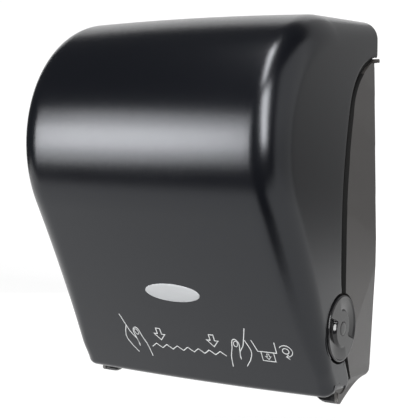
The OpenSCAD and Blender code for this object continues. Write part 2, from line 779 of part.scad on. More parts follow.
module arm_spring() {
    color([0.66, 0.67, 0.68]) difference() {
        upright(arm_pin_x, arm_pin_t, knuckle[1] + play, roll_z + ear_gap - play, arm_pin_r + 2);
        upright(arm_pin_x, arm_pin_t, knuckle[1], roll_z + ear_gap, arm_pin_r + 0.4);
    }
}

module arm_right() {
    color([0.16, 0.16, 0.17]) difference() {
        union() {
            across(arm_x0, arm_x1) difference() {
                arm_outline(arm_pin_t - 5, 15);
                translate([0, knuckle[1]]) square([arm_pin_t + 9, 30]);
            }
            upright(arm_pin_x, arm_pin_t, knuckle[0], knuckle[1], arm_pin_r + 2.5);
        }
        upright(arm_pin_x, arm_pin_t, knuckle[0] - 1, knuckle[1] + 1, arm_pin_r + run);
        rod(arm_x0 - 1, arm_x1 + 1, roll_c, axle_r + seat);
    }
}

module hub() {
    difference() {
        union() {
            rod(roll_w / 2, hub_x1, roll_c, hub_flange_r);
            translate([hub_x0, -roll_t, roll_z - wall_z]) rotate([0, 90, 0])
                cylinder(r1 = core_r - 2, r2 = core_r, h = core_len);
        }
        rod(hub_x0 - 1, hub_x1 + 1, roll_c, axle_r + run);
    }
}

module hub_right() {
    color([0.85, 0.85, 0.84]) hub();
}

module hub_left() {
    color([0.85, 0.85, 0.84]) mirror([1, 0, 0]) hub();
}

module lock_nut() {
    color([0.7, 0.7, 0.71]) difference() {
        upright(0, lock_t, cover_top - cover_wall - 5, cover_top - cover_wall - play, lock_r + 4);
        upright(0, lock_t, cover_top - 20, cover_top, lock_r + play);
    }
}

module lock_barrel() {
    color([0.7, 0.7, 0.71]) difference() {
        union() {
            upright(0, lock_t, cam_z1 + 3, cover_top - 0.3, lock_r);
            upright(0, lock_t, cam_z0, cam_z1 + 3.5, lock_end_r);
        }
        block(-3, 3, lock_t - 0.7, lock_t + 0.7, cover_top - 4, cover_top + 1);
    }
}

// A hook that swings round the keeper's post, its mouth turned aside when unlocked
module lock_cam() {
    ring_in = hook_r + post_r + 1.5;
    ring_out = ring_in + 4;
    color([0.72, 0.73, 0.74]) translate([0, -lock_t, cam_z0 - wall_z]) linear_extrude(cam_z1 - cam_z0) {
        difference() {
            circle(r = lock_end_r + 2.5);
            circle(r = lock_end_r + seat);
        }
        rotate(-37) translate([lock_end_r + 1.5, -2.5]) square([ring_out - lock_end_r - 2.5, 5]);
        intersection() {
            difference() {
                circle(r = ring_out);
                circle(r = ring_in);
            }
            polygon([[0, 0], turn([0, 0], 40, -40), turn([0, 0], 40, 0), turn([0, 0], 40, 30)]);
        }
    }
}

// The slot for the knife, in the drum's own outline
module knife_channel() {
    across(-channel_x, channel_x) translate(drum_c) rotate(slot_at)
        translate([knife_pivot - 9, -11]) square([drum_r, 27]);
}

band_spots = [for (f = [-0.42, -0.21, 0, 0.21, 0.42]) f * drum_len - band_w / 2];

module feed_drum() {
    color([0.22, 0.22, 0.23]) difference() {
        union() {
            difference() {
                rod(-drum_len / 2, drum_len / 2, drum_c, drum_core);
                rod(-channel_x, channel_x, drum_c, drum_core - drum_wall);
            }
            rod(-drum_len / 2, drum_len / 2, drum_c, shaft_r + 4);
            rod(-2, 2, drum_c, drum_core - 1);
        }
        rod(-drum_len, drum_len, drum_c, shaft_r + seat);
        knife_channel();
        for (x = band_spots) difference() {
            rod(x, x + band_w, drum_c, drum_r + 1);
            rod(x - 1, x + band_w + 1, drum_c, drum_core - 1.5);
        }
        rod(-drum_len, drum_len, [knife_t, knife_z], knife_pin_r + run);
    }
}

module grip_bands() {
    color([0.08, 0.08, 0.08]) difference() {
        for (x = band_spots) difference() {
            rod(x, x + band_w, drum_c, drum_r);
            rod(x - 1, x + band_w + 1, drum_c, drum_core - 1.5 + seat);
        }
        knife_channel();
    }
}

module drum_shaft() {
    color([0.75, 0.76, 0.77]) rod(crank_x0 - 0.5, knob_x0 + knob_h / 2, drum_c, shaft_r);
}

module feed_knob() {
    floor_x = knob_h - scoop_d;
    color([0.17, 0.17, 0.18]) difference() {
        rod(knob_x0, knob_x1, drum_c, knob_r);
        rod(knob_x0 - 1, knob_x0 + knob_h / 2, drum_c, shaft_r + seat);
        rod(knob_x1 - 1.2, knob_x1 + 1, drum_c, cap_r + seat);
        intersection() {
            rod(knob_x0, knob_x1 + 1, drum_c, knob_r - 2.5);
            translate([knob_x0, -drum_t, drum_z - wall_z]) for (a = [20, 200]) rotate([a, 0, 0])
                translate([0, 0, -knob_r]) linear_extrude(2 * knob_r)
                    polygon([[floor_x, bar_half], [knob_h + 2, bar_half], [knob_h + 2, knob_r + 2],
                        [knob_h, knob_r + 2]]);
        }
    }
}

module knob_cap() {
    color([0.3, 0.3, 0.31]) rod(knob_x1 - 1.2, knob_x1 + 0.4, drum_c, cap_r);
}

module crank_disc() {
    color([0.6, 0.61, 0.62]) {
        difference() {
            rod(crank_x0, crank_x1, drum_c, crank_r);
            rod(crank_x0 - 1, crank_x1 + 1, drum_c, shaft_r + seat);
        }
        rod(spring_x - 3, crank_x0 + 0.5, crank_pin, crank_pin_r);
    }
}

// A frame on the knife's pivot: x along the knife towards its edge
module knife_frame() {
    translate([knife_t, knife_z]) rotate(knife_dir) children();
}

module knife_bar() {
    color([0.6, 0.61, 0.62]) difference() {
        across(-knife_x, knife_x) knife_frame() {
            circle(r = knife_pin_r + 2);
            translate([0, -2]) square([knife_len - 6, 2.5]);
        }
        rod(-knife_x - 1, knife_x + 1, [knife_t, knife_z], knife_pin_r + seat);
    }
}

module knife_blade() {
    pitch = 2 * (knife_x - 2) / knife_teeth;
    x0 = -knife_x + 2;
    color([0.8, 0.81, 0.82]) translate([0, -knife_t, knife_z - wall_z]) rotate([-knife_dir, 0, 0])
        translate([0, 0, 0.5]) linear_extrude(1) polygon(concat(
            [[knife_x - 2, -knife_pin_r - 3], [x0, -knife_pin_r - 3]],
            [for (i = [0:knife_teeth - 1]) each [
                [x0 + i * pitch, 3.5 - knife_len],
                [x0 + (i + 0.5) * pitch, -knife_len]]],
            [[knife_x - 2, 3.5 - knife_len]]));
}

module knife_pins() {
    color([0.7, 0.71, 0.72]) both() rod(knife_x - 14, drum_len / 2, [knife_t, knife_z], knife_pin_r);
}

module pinch_carriage() {
    color([0.88, 0.87, 0.83]) {
        both() difference() {
            across(plate_x0 - 0.5, plate_x1 + 0.5) pinch_frame()
                translate([-block_w / 2, -block_w / 2]) square([block_back + block_w / 2, block_w]);
            rod(plate_x0 - 1, plate_x1 + 1, pinch_c, pinch_axle_r + run);
        }
        across(-plate_x0 + 0.4, plate_x0 - 0.4) pinch_frame()
            translate([block_back - 5, -block_w / 2]) square([4, block_w]);
    }
}

module pinch_springs() {
    color([0.66, 0.67, 0.68]) both()
        translate([(plate_x0 + plate_x1) / 2, -pinch_t, pinch_z - wall_z]) rotate([-45, 0, 0])
            translate([0, 0, block_back]) difference() {
                cylinder(r = 4, h = pinch_spring_len);
                translate([0, 0, -1]) cylinder(r = 2.8, h = pinch_spring_len + 2);
            }
}

module pinch_roller() {
    color([0.1, 0.1, 0.1]) difference() {
        rod(2 - drum_len / 2, drum_len / 2 - 2, pinch_c, pinch_r);
        rod(-drum_len, drum_len, pinch_c, pinch_axle_r + seat);
    }
}

module pinch_axle() {
    color([0.75, 0.76, 0.77]) rod(-plate_x1 - 2, plate_x1 + 2, pinch_c, pinch_axle_r);
}

rear_housing();
chute();
hinge_pins();
keeper();
plate_left();
plate_right();
tie_rods();
module_screws();
drum_bushes();
stripper();
spring_post();
return_spring();
arm_left();
axle_left();
arm_bracket();
arm_pin();
arm_spring();
arm_screws();
front_cover();
name_badge();
lock_nut();
lock_barrel();
lock_cam();
feed_drum();
drum_shaft();
grip_bands();
feed_knob();
knob_cap();
crank_disc();
knife_bar();
knife_blade();
knife_pins();
pinch_carriage();
pinch_springs();
pinch_roller();
pinch_axle();
arm_right();
axle_right();
hub_left();
hub_right();
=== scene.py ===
import json
import bpy
import numpy as np
from mathutils import Matrix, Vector
from math import radians, degrees, asin, atan2, acos, hypot, sin, cos, tan, pi


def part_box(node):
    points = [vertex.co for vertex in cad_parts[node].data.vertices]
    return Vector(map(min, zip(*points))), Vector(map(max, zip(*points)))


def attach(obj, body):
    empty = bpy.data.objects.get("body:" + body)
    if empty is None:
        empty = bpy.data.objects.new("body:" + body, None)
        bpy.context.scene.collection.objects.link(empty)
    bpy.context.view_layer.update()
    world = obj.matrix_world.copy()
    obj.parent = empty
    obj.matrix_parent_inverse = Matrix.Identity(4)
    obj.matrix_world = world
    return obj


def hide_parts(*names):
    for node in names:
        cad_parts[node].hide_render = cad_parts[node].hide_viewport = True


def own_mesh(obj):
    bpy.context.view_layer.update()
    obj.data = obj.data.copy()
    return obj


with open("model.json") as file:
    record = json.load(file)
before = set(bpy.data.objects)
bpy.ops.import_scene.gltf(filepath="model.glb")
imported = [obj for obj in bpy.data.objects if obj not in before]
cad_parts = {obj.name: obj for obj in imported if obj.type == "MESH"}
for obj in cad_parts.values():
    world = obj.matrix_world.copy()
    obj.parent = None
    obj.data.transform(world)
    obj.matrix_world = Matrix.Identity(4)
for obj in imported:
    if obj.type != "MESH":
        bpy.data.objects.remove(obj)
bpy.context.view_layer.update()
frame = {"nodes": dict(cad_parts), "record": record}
print("frame loaded,", len(frame["nodes"]), "nodes")

# Sizes are millimetres up to the stage: x across, t out from the wall, z above the cover's bottom edge.
wallZ = 220.0     # height of the frame's origin
mm = 0.001


def toFrame(x, t, z):
    # metres in the part's own frame: (x, -t, z - wallZ) / 1000
    x, t, z = (np.asarray(v, float) for v in (x, t, z))
    return np.stack(np.broadcast_arrays(x, -t, z - wallZ), -1) * mm


def boxOf(node):
    # a node's lowest and highest corner in the frame, times 1000
    return [np.array(c) * 1000 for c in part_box(node)]


def ease(a, b, v):
    # 3u^2 - 2u^3 of v's place between a and b, held at 0 and 1 outside
    u = np.clip((np.asarray(v, float) - a) / (b - a), 0, 1)
    return u * u * (3 - 2 * u)


def unit(v):
    # each vector divided by its length
    return v / np.linalg.norm(v, axis=-1, keepdims=True)


def fullTurn(n):
    # n even angles once round
    return np.linspace(0, 2 * pi, n, endpoint=False)


def arcPoints(c, r, a0, a1, n):
    # n points at radius r from c, from a0 to a1 degrees
    a = np.radians(np.linspace(a0, a1, n))
    return np.stack([c[0] + r * np.cos(a), c[1] + r * np.sin(a)], -1)


def curveThrough(knots, steps):
    # Catmull-Rom through the knots: each span is a cubic of its four nearest knots
    p = np.asarray(knots, float)
    p = np.concatenate([2 * p[:1] - p[1:2], p, 2 * p[-1:] - p[-2:-1]])
    a, b, c, d = p[:-3, None], p[1:-2, None], p[2:-1, None], p[3:, None]
    u = (np.arange(steps) / steps)[None, :, None]
    second, third = 2 * a - 5 * b + 4 * c - d, 3 * b - a - 3 * c + d
    q = 0.5 * (2 * b + (c - a) * u + second * u ** 2 + third * u ** 3)
    return np.concatenate([q.reshape(-1, p.shape[1]), p[-2:-1]])


def gridFaces(nu, nv, closeU=False, closeV=False):
    # corner numbers of every cell of a grid of nu by nv points, wrapped where a direction closes
    i, j = np.meshgrid(np.arange(nu - (not closeU)), np.arange(nv - (not closeV)), indexing="ij")
    k, m = (i + 1) % nu, (j + 1) % nv
    return np.stack([i * nv + j, k * nv + j, k * nv + m, i * nv + m], -1).reshape(-1, 4)


def closedTube(grid):
    # n rings of m points: the cells between them, and one face over each end
    n, m = grid.shape[:2]
    ring = np.arange(m)[None]
    return grid.reshape(-1, 3), [gridFaces(n, m, closeV=True), ring, ring[:, ::-1] + (n - 1) * m]


def closedRing(grid):
    # n rings of m points, the last joined to the first
    n, m = grid.shape[:2]
    return grid.reshape(-1, 3), [gridFaces(n, m, True, True)]


def tubeAlong(path, side, radius, sides=8):
    # a circle carried along the path; its first axis is the part of side that is square to the path
    tangent = unit(np.gradient(path, axis=0))
    first = unit(side - (side * tangent).sum(1, keepdims=True) * tangent)
    second = np.cross(tangent, first)
    a = fullTurn(sides)[None, :, None]
    return closedTube(path[:, None] + radius * (np.cos(a) * first[:, None] + np.sin(a) * second[:, None]))


def turned(profile, centre, count):
    # rings of a profile of (x, radius) turned round the X axis through centre (t, z)
    x, r = np.asarray(profile, float).T[..., None]
    a = fullTurn(count)[None]
    return toFrame(x, centre[0] + r * np.cos(a), centre[1] + r * np.sin(a))


def insideOut(points, faceSets):
    # the sum of a . (b x c) over fans of each face is six volumes; below zero the skin faces inwards
    total = 0.0
    for f in faceSets:
        for k in range(1, f.shape[1] - 1):
            a, b, c = (points[f[:, j]] for j in (0, k, k + 1))
            total += (a * np.cross(b, c)).sum()
    return total < 0


def joinParts(parts):
    # several (points, faceSets) laid end to end as one, each facing outwards
    points, sets, n = [], [], 0
    for p, fs in parts:
        flip = insideOut(p - p.mean(0), fs)
        points.append(p)
        sets += [(f[:, ::-1] if flip else f) + n for f in fs]
        n += len(p)
    return np.concatenate(points), sets


def putMesh(name, points, faceSets, crease=38):
    # points in metres; faces turned to look outwards, smooth except where they meet above the crease angle
    if insideOut(points - points.mean(0), faceSets):
        faceSets = [f[:, ::-1] for f in faceSets]
    mesh = bpy.data.meshes.new(name)
    mesh.from_pydata(points.tolist(), [], [f for s in faceSets for f in s.tolist()])
    mesh.update()
    mesh.polygons.foreach_set("use_smooth", np.ones(len(mesh.polygons), bool))
    mesh.set_sharp_from_angle(angle=radians(crease))
    return mesh


def putObject(name, data):
    # a new object at the origin of the scene
    thing = bpy.data.objects.new(name, data)
    bpy.context.scene.collection.objects.link(thing)
    return thing


def addPiece(name, mesh, body, slotName, *nodes, finish=None):
    # a piece on its body, in its slot's finish unless given another, in place of the nodes named
    piece = putObject(name, mesh)
    mesh.materials.append(finish or finishes[slotName])
    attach(piece, body)
    if nodes:
        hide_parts(*nodes)
    return piece


# Finishes
def newGroup(name, inputs):
    # a node group with these inputs, tuples as colours, that puts out colour, roughness and height
    group = bpy.data.node_groups.new(name, "ShaderNodeTree")
    for label, value in inputs.items():
        kind = "NodeSocketColor" if isinstance(value, tuple) else "NodeSocketFloat"
        group.interface.new_socket(label, in_out="INPUT", socket_type=kind).default_value = value
    group.interface.new_socket("Color", in_out="OUTPUT", socket_type="NodeSocketColor")
    for label in ("Roughness", "Height"):
        group.interface.new_socket(label, in_out="OUTPUT", socket_type="NodeSocketFloat")
    return group, group.nodes.new("NodeGroupInput").outputs, group.nodes.new("NodeGroupOutput").inputs


def mathNode(tree, kind, a, b):
    # a and b are sockets or numbers
    node = tree.nodes.new("ShaderNodeMath")
    node.operation = kind
    for socket, v in zip(node.inputs, (a, b)):
        if isinstance(v, (int, float)):
            socket.default_value = v
        else:
            tree.links.new(v, socket)
    return node.outputs[0]


def noiseNode(tree, scale, detail, where, rough=0.55):
    # fractal noise at a place; scale is a socket or a number
    node = tree.nodes.new("ShaderNodeTexNoise")
    node.inputs["Detail"].default_value = detail
    node.inputs["Roughness"].default_value = rough
    if isinstance(scale, (int, float)):
        node.inputs["Scale"].default_value = scale
    else:
        tree.links.new(scale, node.inputs["Scale"])
    tree.links.new(where, node.inputs["Vector"])
    return node.outputs["Fac"]


def stretched(tree, where, scale):
    # a place times scale, axis by axis
    node = tree.nodes.new("ShaderNodeMapping")
    node.inputs["Scale"].default_value = scale
    tree.links.new(where, node.inputs["Vector"])
    return node.outputs[0]


def shadeBy(tree, colour, factor):
    # colour times factor
    node = tree.nodes.new("ShaderNodeVectorMath")
    node.operation = "SCALE"
    tree.links.new(colour, node.inputs[0])
    tree.links.new(factor, node.inputs["Scale"])
    return node.outputs[0]


def ownPlace(tree):
    # the piece's own coordinates
    return tree.nodes.new("ShaderNodeTexCoord").outputs["Object"]


def splitPlace(tree):
    # the same as X, Y and Z
    node = tree.nodes.new("ShaderNodeSeparateXYZ")
    tree.links.new(ownPlace(tree), node.inputs[0])
    return node.outputs


skinLook = dict(grainDetail=3, grainRough=0.6, speck=0.6, streak=(260, 260, 9), streakDetail=4)
metalLook = dict(lines=(25, 900, 900), clouds=45.0, detail=4, base=0.85, lineTone=0.3, lineRough=0.25)


def mouldedGroup():
    # fine grain for the bump, broad clouds for tone and gloss, faint rubbed streaks that run down the part
    g, given, out = newGroup("mouldedSkin", dict(Color=(0.02, 0.02, 0.02, 1), Roughness=0.4, Grain=1800.0,
                                                 Clouds=14.0, Tone=0.12, Rub=0.05))
    here = ownPlace(g)
    fine = noiseNode(g, given["Grain"], skinLook["grainDetail"], here, skinLook["grainRough"])
    broad = noiseNode(g, given["Clouds"], skinLook["grainDetail"], here)
    streak = noiseNode(g, 1.0, skinLook["streakDetail"], stretched(g, here, skinLook["streak"]))
    cloud = mathNode(g, "SUBTRACT", broad, 0.5)
    speck = mathNode(g, "MULTIPLY", mathNode(g, "SUBTRACT", fine, 0.5), skinLook["speck"])
    patch = mathNode(g, "MULTIPLY", mathNode(g, "ADD", cloud, speck), given["Tone"])
    g.links.new(shadeBy(g, given["Color"], mathNode(g, "ADD", 1.0, patch)), out["Color"])
    smear = mathNode(g, "ADD", cloud, mathNode(g, "SUBTRACT", streak, 0.5))
    rub = mathNode(g, "MULTIPLY", smear, given["Rub"])
    g.links.new(mathNode(g, "ADD", given["Roughness"], rub), out["Roughness"])
    g.links.new(fine, out["Height"])
    return g


def brushedGroup():
    # long fine lines across the part from noise stretched along X, and a broad cloud of tarnish
    g, given, out = newGroup("drawnMetal", dict(Color=(0.5, 0.5, 0.5, 1), Roughness=0.35, Lines=1.0,
                                                Tarnish=0.25))
    here = ownPlace(g)
    lines = noiseNode(g, given["Lines"], metalLook["detail"], stretched(g, here, metalLook["lines"]))
    cloud = noiseNode(g, metalLook["clouds"], metalLook["detail"], here)
    dull = mathNode(g, "MULTIPLY", mathNode(g, "SUBTRACT", cloud, 0.5), given["Tarnish"])
    lined = mathNode(g, "ADD", metalLook["base"], mathNode(g, "MULTIPLY", lines, metalLook["lineTone"]))
    g.links.new(shadeBy(g, given["Color"], mathNode(g, "ADD", lined, dull)), out["Color"])
    drag = mathNode(g, "MULTIPLY", mathNode(g, "SUBTRACT", lines, 0.5), metalLook["lineRough"])
    rough = mathNode(g, "ADD", given["Roughness"], drag)
    g.links.new(mathNode(g, "SUBTRACT", rough, dull), out["Roughness"])
    g.links.new(lines, out["Height"])
    return g


mouldedSkin, drawnMetal = mouldedGroup(), brushedGroup()


def finishFrom(name, group, values, bump, depth, **direct):
    # a Principled shader fed by one group; what is even all over is set on the shader itself
    mat = bpy.data.materials.new(name)
    mat.use_nodes = True
    tree = mat.node_tree
    shader = tree.nodes["Principled BSDF"]
    skin = tree.nodes.new("ShaderNodeGroup")
    skin.node_tree = group
    for label, v in values.items():
        skin.inputs[label].default_value = (*v, 1) if isinstance(v, tuple) else v
    tree.links.new(skin.outputs["Color"], shader.inputs["Base Color"])
    tree.links.new(skin.outputs["Roughness"], shader.inputs["Roughness"])
    relief = tree.nodes.new("ShaderNodeBump")
    relief.inputs["Strength"].default_value = bump
    relief.inputs["Distance"].default_value = depth
    tree.links.new(skin.outputs["Height"], relief.inputs["Height"])
    tree.links.new(relief.outputs[0], shader.inputs["Normal"])
    for label, v in direct.items():
        shader.inputs[label.replace("_", " ")].default_value = v
    return mat


finishes = {
    "charcoal_shell": finishFrom("coverCharcoal", mouldedSkin, dict(
        Color=(0.0028, 0.0031, 0.0044), Roughness=0.22, Grain=2400.0, Clouds=9.0, Tone=0.10, Rub=0.03),
        bump=0.12, depth=0.0004, Specular_IOR_Level=0.5, Specular_Tint=(0.92, 0.95, 1.0, 1.0)),
    "grey_housing": finishFrom("housingGrey", mouldedSkin, dict(
        Color=(0.066, 0.061, 0.058), Roughness=0.36, Grain=1900.0, Clouds=12.0, Tone=0.10, Rub=0.05),
        bump=0.2, depth=0.0005),
    "dark_plastic": finishFrom("satinBlack", mouldedSkin, dict(
        Color=(0.016, 0.016, 0.017), Roughness=0.42, Grain=1600.0, Clouds=20.0, Tone=0.2, Rub=0.08),
        bump=0.15, depth=0.0004),
    "knob_gloss": finishFrom("knobBlack", mouldedSkin, dict(
        Color=(0.010, 0.010, 0.011), Roughness=0.14, Grain=700.0, Clouds=40.0, Tone=0.15, Rub=0.06),
        bump=0.03, depth=0.0003),
    "pale_print": finishFrom("palePrint", mouldedSkin, dict(
        Color=(0.64, 0.65, 0.65), Roughness=0.42, Grain=2200.0, Clouds=60.0, Tone=0.06, Rub=0.08),
        bump=0.08, depth=0.0002),
    "nylon": finishFrom("naturalNylon", mouldedSkin, dict(
        Color=(0.62, 0.59, 0.50), Roughness=0.45, Grain=1500.0, Clouds=50.0, Tone=0.12, Rub=0.1),
        bump=0.12, depth=0.0003, Subsurface_Weight=0.08),
    "steel": finishFrom("platedSteel", drawnMetal, dict(
        Color=(0.56, 0.57, 0.58), Roughness=0.34, Lines=1.0, Tarnish=0.3),
        bump=0.1, depth=0.0003, Metallic=1.0),
    "spring_steel": finishFrom("springWire", drawnMetal, dict(
        Color=(0.42, 0.42, 0.43), Roughness=0.3, Lines=0.6, Tarnish=0.4),
        bump=0.1, depth=0.0003, Metallic=1.0),
    "rubber": finishFrom("gripRubber", mouldedSkin, dict(
        Color=(0.022, 0.022, 0.022), Roughness=0.8, Grain=1300.0, Clouds=40.0, Tone=0.3, Rub=0.15),
        bump=0.5, depth=0.0006),
    "hub_plastic": finishFrom("hubPlastic", mouldedSkin, dict(
        Color=(0.6, 0.6, 0.585), Roughness=0.4, Grain=1700.0, Clouds=40.0, Tone=0.1, Rub=0.1),
        bump=0.12, depth=0.0003),
}
satinPlate = finishFrom("satinPlate", mouldedSkin, dict(
    Color=(0.435, 0.445, 0.455), Roughness=0.38, Grain=2200.0, Clouds=60.0, Tone=0.06, Rub=0.08),
    bump=0.08, depth=0.0002)

# line between cover and housing: upright at t, a bow from z up to the tilt, then a tight bend; below, a lean
# back to the hinge; gap is half its width
parting = dict(gap=4.5, t=85.5, z=166.0, bowR=490.0, tilt=15.5, bendR=68.0, lean=26.5, hinge=(77.0, 14.0),
               heelR=8.0, knob=(91.0, 72.0), notchR=36.5)
# painted shade for the housing's gap: where the line leans, the rim's edge, the colour kept, how matt, and
# the bounds of the curl, the side and the bottom
gapShade = dict(kneeZ=54.1, edge=0.5, shade=0.02, matt=0.85, curlT=34.0, flangeX=150.3, fromX=143.0, endZ=12.0)
bowC = (parting["t"] - parting["bowR"], parting["z"])
bendC = arcPoints(bowC, parting["bowR"] - parting["bendR"], parting["tilt"], parting["tilt"], 1)[0]


def paintRecessShade(mat):
    # reach is the distance from the bow's or the bend's centre, less the radius, plus t, so it is even along
    # the parting line; past the housing's rim, where the deep gap lies in shadow, the skin gets painted
    # shade: its colour is darkened and made matt, but not on the curl at the top
    tree = mat.node_tree
    shader = tree.nodes["Principled BSDF"]
    calc = lambda kind, a, b: mathNode(tree, kind, a, b)
    place = splitPlace(tree)
    x = calc("ABSOLUTE", calc("MULTIPLY", place["X"], 1000.0), 0.0)
    t = calc("MULTIPLY", place["Y"], -1000.0)
    z = calc("ADD", calc("MULTIPLY", place["Z"], 1000.0), wallZ)

    def beyond(c, r, low):
        # steps out and up from c, the step up held above low, and the reach past the radius r
        out = calc("SUBTRACT", t, float(c[0]))
        over = calc("MAXIMUM", calc("SUBTRACT", z, float(c[1])), low)
        square = calc("ADD", calc("MULTIPLY", out, out), calc("MULTIPLY", over, over))
        return out, over, calc("ADD", calc("POWER", square, 0.5), parting["t"] - r)

    _, _, alongBow = beyond(bowC, parting["bowR"], 0.0)
    out, over, alongBend = beyond(bendC, parting["bendR"], -1000.0)
    tilt = radians(parting["tilt"])
    pastTilt = calc("SUBTRACT", calc("MULTIPLY", over, cos(tilt)), calc("MULTIPLY", out, sin(tilt)))
    onBend = calc("GREATER_THAN", pastTilt, 0.0)
    change = calc("MULTIPLY", onBend, calc("SUBTRACT", alongBend, alongBow))
    under = calc("MAXIMUM", calc("SUBTRACT", gapShade["kneeZ"], z), 0.0)
    leaned = calc("MULTIPLY", under, tan(radians(parting["lean"])))
    reach = calc("ADD", calc("ADD", alongBow, change), leaned)
    past = calc("GREATER_THAN", reach, parting["t"] - parting["gap"] - gapShade["edge"])
    onCurl = calc("LESS_THAN", t, gapShade["curlT"])
    curl = calc("MULTIPLY", onCurl, calc("GREATER_THAN", x, gapShade["flangeX"]))
    above = calc("GREATER_THAN", z, gapShade["endZ"])
    onSide = calc("MULTIPLY", above, calc("GREATER_THAN", x, gapShade["fromX"]))
    # painted shade mask: the side past the rim, less the curl
    paintedShade = calc("MULTIPLY", calc("MULTIPLY", past, onSide), calc("SUBTRACT", 1.0, curl))
    keep = calc("SUBTRACT", 1.0, calc("MULTIPLY", paintedShade, 1 - gapShade["shade"]))
    # the base colour darkened by the painted shade, standing in for the gap's shadow
    colour = shader.inputs["Base Color"].links[0].from_socket
    tree.links.new(shadeBy(tree, colour, keep), shader.inputs["Base Color"])
    gloss = shader.inputs["Roughness"].links[0].from_socket
    matt = calc("MAXIMUM", gloss, calc("MULTIPLY", paintedShade, gapShade["matt"]))
    tree.links.new(matt, shader.inputs["Roughness"])


# painted shade of the gap laid into the housing's finish
paintRecessShade(finishes["grey_housing"])
slotOf = {s["node"]: s["material_slot"] for s in frame["record"]["subparts"]}
for nodeName, solid in frame["nodes"].items():
    for seat in solid.material_slots:
        seat.link = "OBJECT"
        seat.material = finishes[slotOf[nodeName]]
print("finishes made and laid on the frame")

# Front cover
cover = dict(halfW=156.0, depth=236.0, noseR=135.0, noseZ=258.0, lipT=112.0, lipR=11.0, lipLen=5.0, wall=3.0,
             edgeR=32.0, rearEdgeR=20.0, lipEdgeR=15.0, lipInnerR=10.0, lipLess=2.0, lastLess=3.0,
             sideIn=3.0, bow=3.4, lipBow=0.6, back=1.0)
# the rounded rim along the parting line, broader above the knob and at the heel
rim = dict(x=1.5, t=4.5, fine=1.2, steps=6, highFrom=4.0, highTo=-14.0, lowFrom=-6.0, lowTo=-1.0,
           lowShare=0.6)
# where rings of the outline leave the rear edge: parts of the nose and slant, steps from the slant's end,
# and lengths run along the edge
rings = dict(noseMid=0.41, high=0.29, front=0.66, under=0.87, knee=0.5, low=-3.0, heel=2.0, topRun=53.0,
             midRun=147.0, knobRun=207.0, plainRun=240.0, lipRun=3.6, flat=15, arc=17, across=19)

noseT = cover["depth"] - cover["noseR"]
topZ = cover["noseZ"] + cover["noseR"]
slant = asin(cover["noseR"] / hypot(noseT - cover["lipT"], cover["noseZ"]))
slant -= atan2(cover["lipT"] - noseT, cover["noseZ"])
faceTop = (noseT + cover["noseR"] * cos(slant), cover["noseZ"] - cover["noseR"] * sin(slant))
lipTan = cover["lipR"] * tan((pi / 2 - slant) / 2)
topEnd = noseT - cover["back"]
noseEnd = topEnd + cover["noseR"] * (pi / 2 + slant)
slantEnd = noseEnd + faceTop[1] / cos(slant) - lipTan
lipEnd = slantEnd + cover["lipR"] * (pi / 2 - slant)
lastS = lipEnd + cover["lipLen"]
edgeT = parting["t"] + parting["gap"]


def coverOutline(s):
    # side view by length s: flat top, nose arc, straight slant, lip arc, flat lip; also the outward angle
    noseR, lipR, lipC, down = cover["noseR"], cover["lipR"], cover["lipT"] - lipTan, s - noseEnd
    spans = [s < topEnd, s < noseEnd, s < slantEnd, s < lipEnd]
    a = np.select(spans, [pi / 2, pi / 2 - (s - topEnd) / noseR, -slant, -slant - (s - slantEnd) / lipR],
                  -pi / 2)
    t = np.select(spans, [cover["back"] + s, noseT + noseR * np.cos(a), faceTop[0] - down * sin(slant),
                          lipC + lipR * np.cos(a)], lipC - (s - lipEnd))
    z = np.select(spans, [topZ, cover["noseZ"] + noseR * np.sin(a), faceTop[1] - down * cos(slant),
                          lipR + lipR * np.sin(a)], 0.0)
    return np.stack([t, z], -1), a


def drawIn(t):
    # how far past the rear edge t lies, 0 there and 1 at the nose
    return np.maximum(0, np.asarray(t) - edgeT) / (cover["depth"] - edgeT)


def sideX(t):
    # half width of the cover: full at the rear edge, then less by the square of the way to the nose
    return cover["halfW"] - cover["sideIn"] * drawIn(t) ** 2


def coverEdge(notch):
    # the side wall's rear edge from the top: bend, bow, upright, lean, heel; by the knob, round its notch
    g, hinge, heelR, lean, tilt = (parting[k] for k in ("gap", "hinge", "heelR", "lean", "tilt"))
    bendR = parting["bendR"] + g
    heelTop = arcPoints(hinge, heelR, 180 - lean, 180 - lean, 1)[0]
    knee = np.array([edgeT, heelTop[1] + (edgeT - heelTop[0]) / tan(radians(lean))])
    top = degrees(acos((cover["back"] - bendC[0]) / bendR))
    bow = arcPoints(bowC, parting["bowR"] + g, tilt, 0, 80)
    bend = np.concatenate([arcPoints(bendC, bendR, top, tilt, 80), bow[1:]])
    heel = arcPoints(hinge, heelR, 180 - lean, 270, 40)
    straight = lambda p, q: np.asarray(p) + (np.asarray(q) - p) * np.linspace(0, 1, 60)[1:-1, None]
    if not notch:
        line = np.concatenate([bend, straight(bend[-1], knee), knee[None], straight(knee, heelTop), heel])
        marks = {"knee": knee, "heel": heelTop}
    else:
        # the notch leaves the upright at the angle high and meets the lean at the point low
        c, r = np.array(parting["knob"]), parting["notchR"]
        high = degrees(acos((edgeT - c[0]) / r))
        along = unit(heelTop - knee)
        b = (knee - c) @ along
        low = knee + along * (-b + np.sqrt(b * b - (knee - c) @ (knee - c) + r * r))
        lowAt = degrees(atan2(low[1] - c[1], low[0] - c[0]))
        ring = arcPoints(c, r, high, lowAt, 160)
        line = np.concatenate([bend, straight(bend[-1], ring[0]), ring, straight(ring[-1], heelTop), heel])
        under = arcPoints(c, r, -60, -60, 1)[0]
        marks = {"high": ring[0], "front": c + [r, 0], "under": under, "low": ring[-1], "heel": heelTop}
    run = np.concatenate([[0], np.cumsum(np.linalg.norm(np.diff(line, axis=0), axis=1))])
    at = {k: run[np.argmin(np.linalg.norm(line - p, axis=1))] for k, p in marks.items()}
    way = unit(np.gradient(line, run, axis=0))
    inward = np.stack([-way[:, 1], way[:, 0]], -1)
    return line, run, inward, at


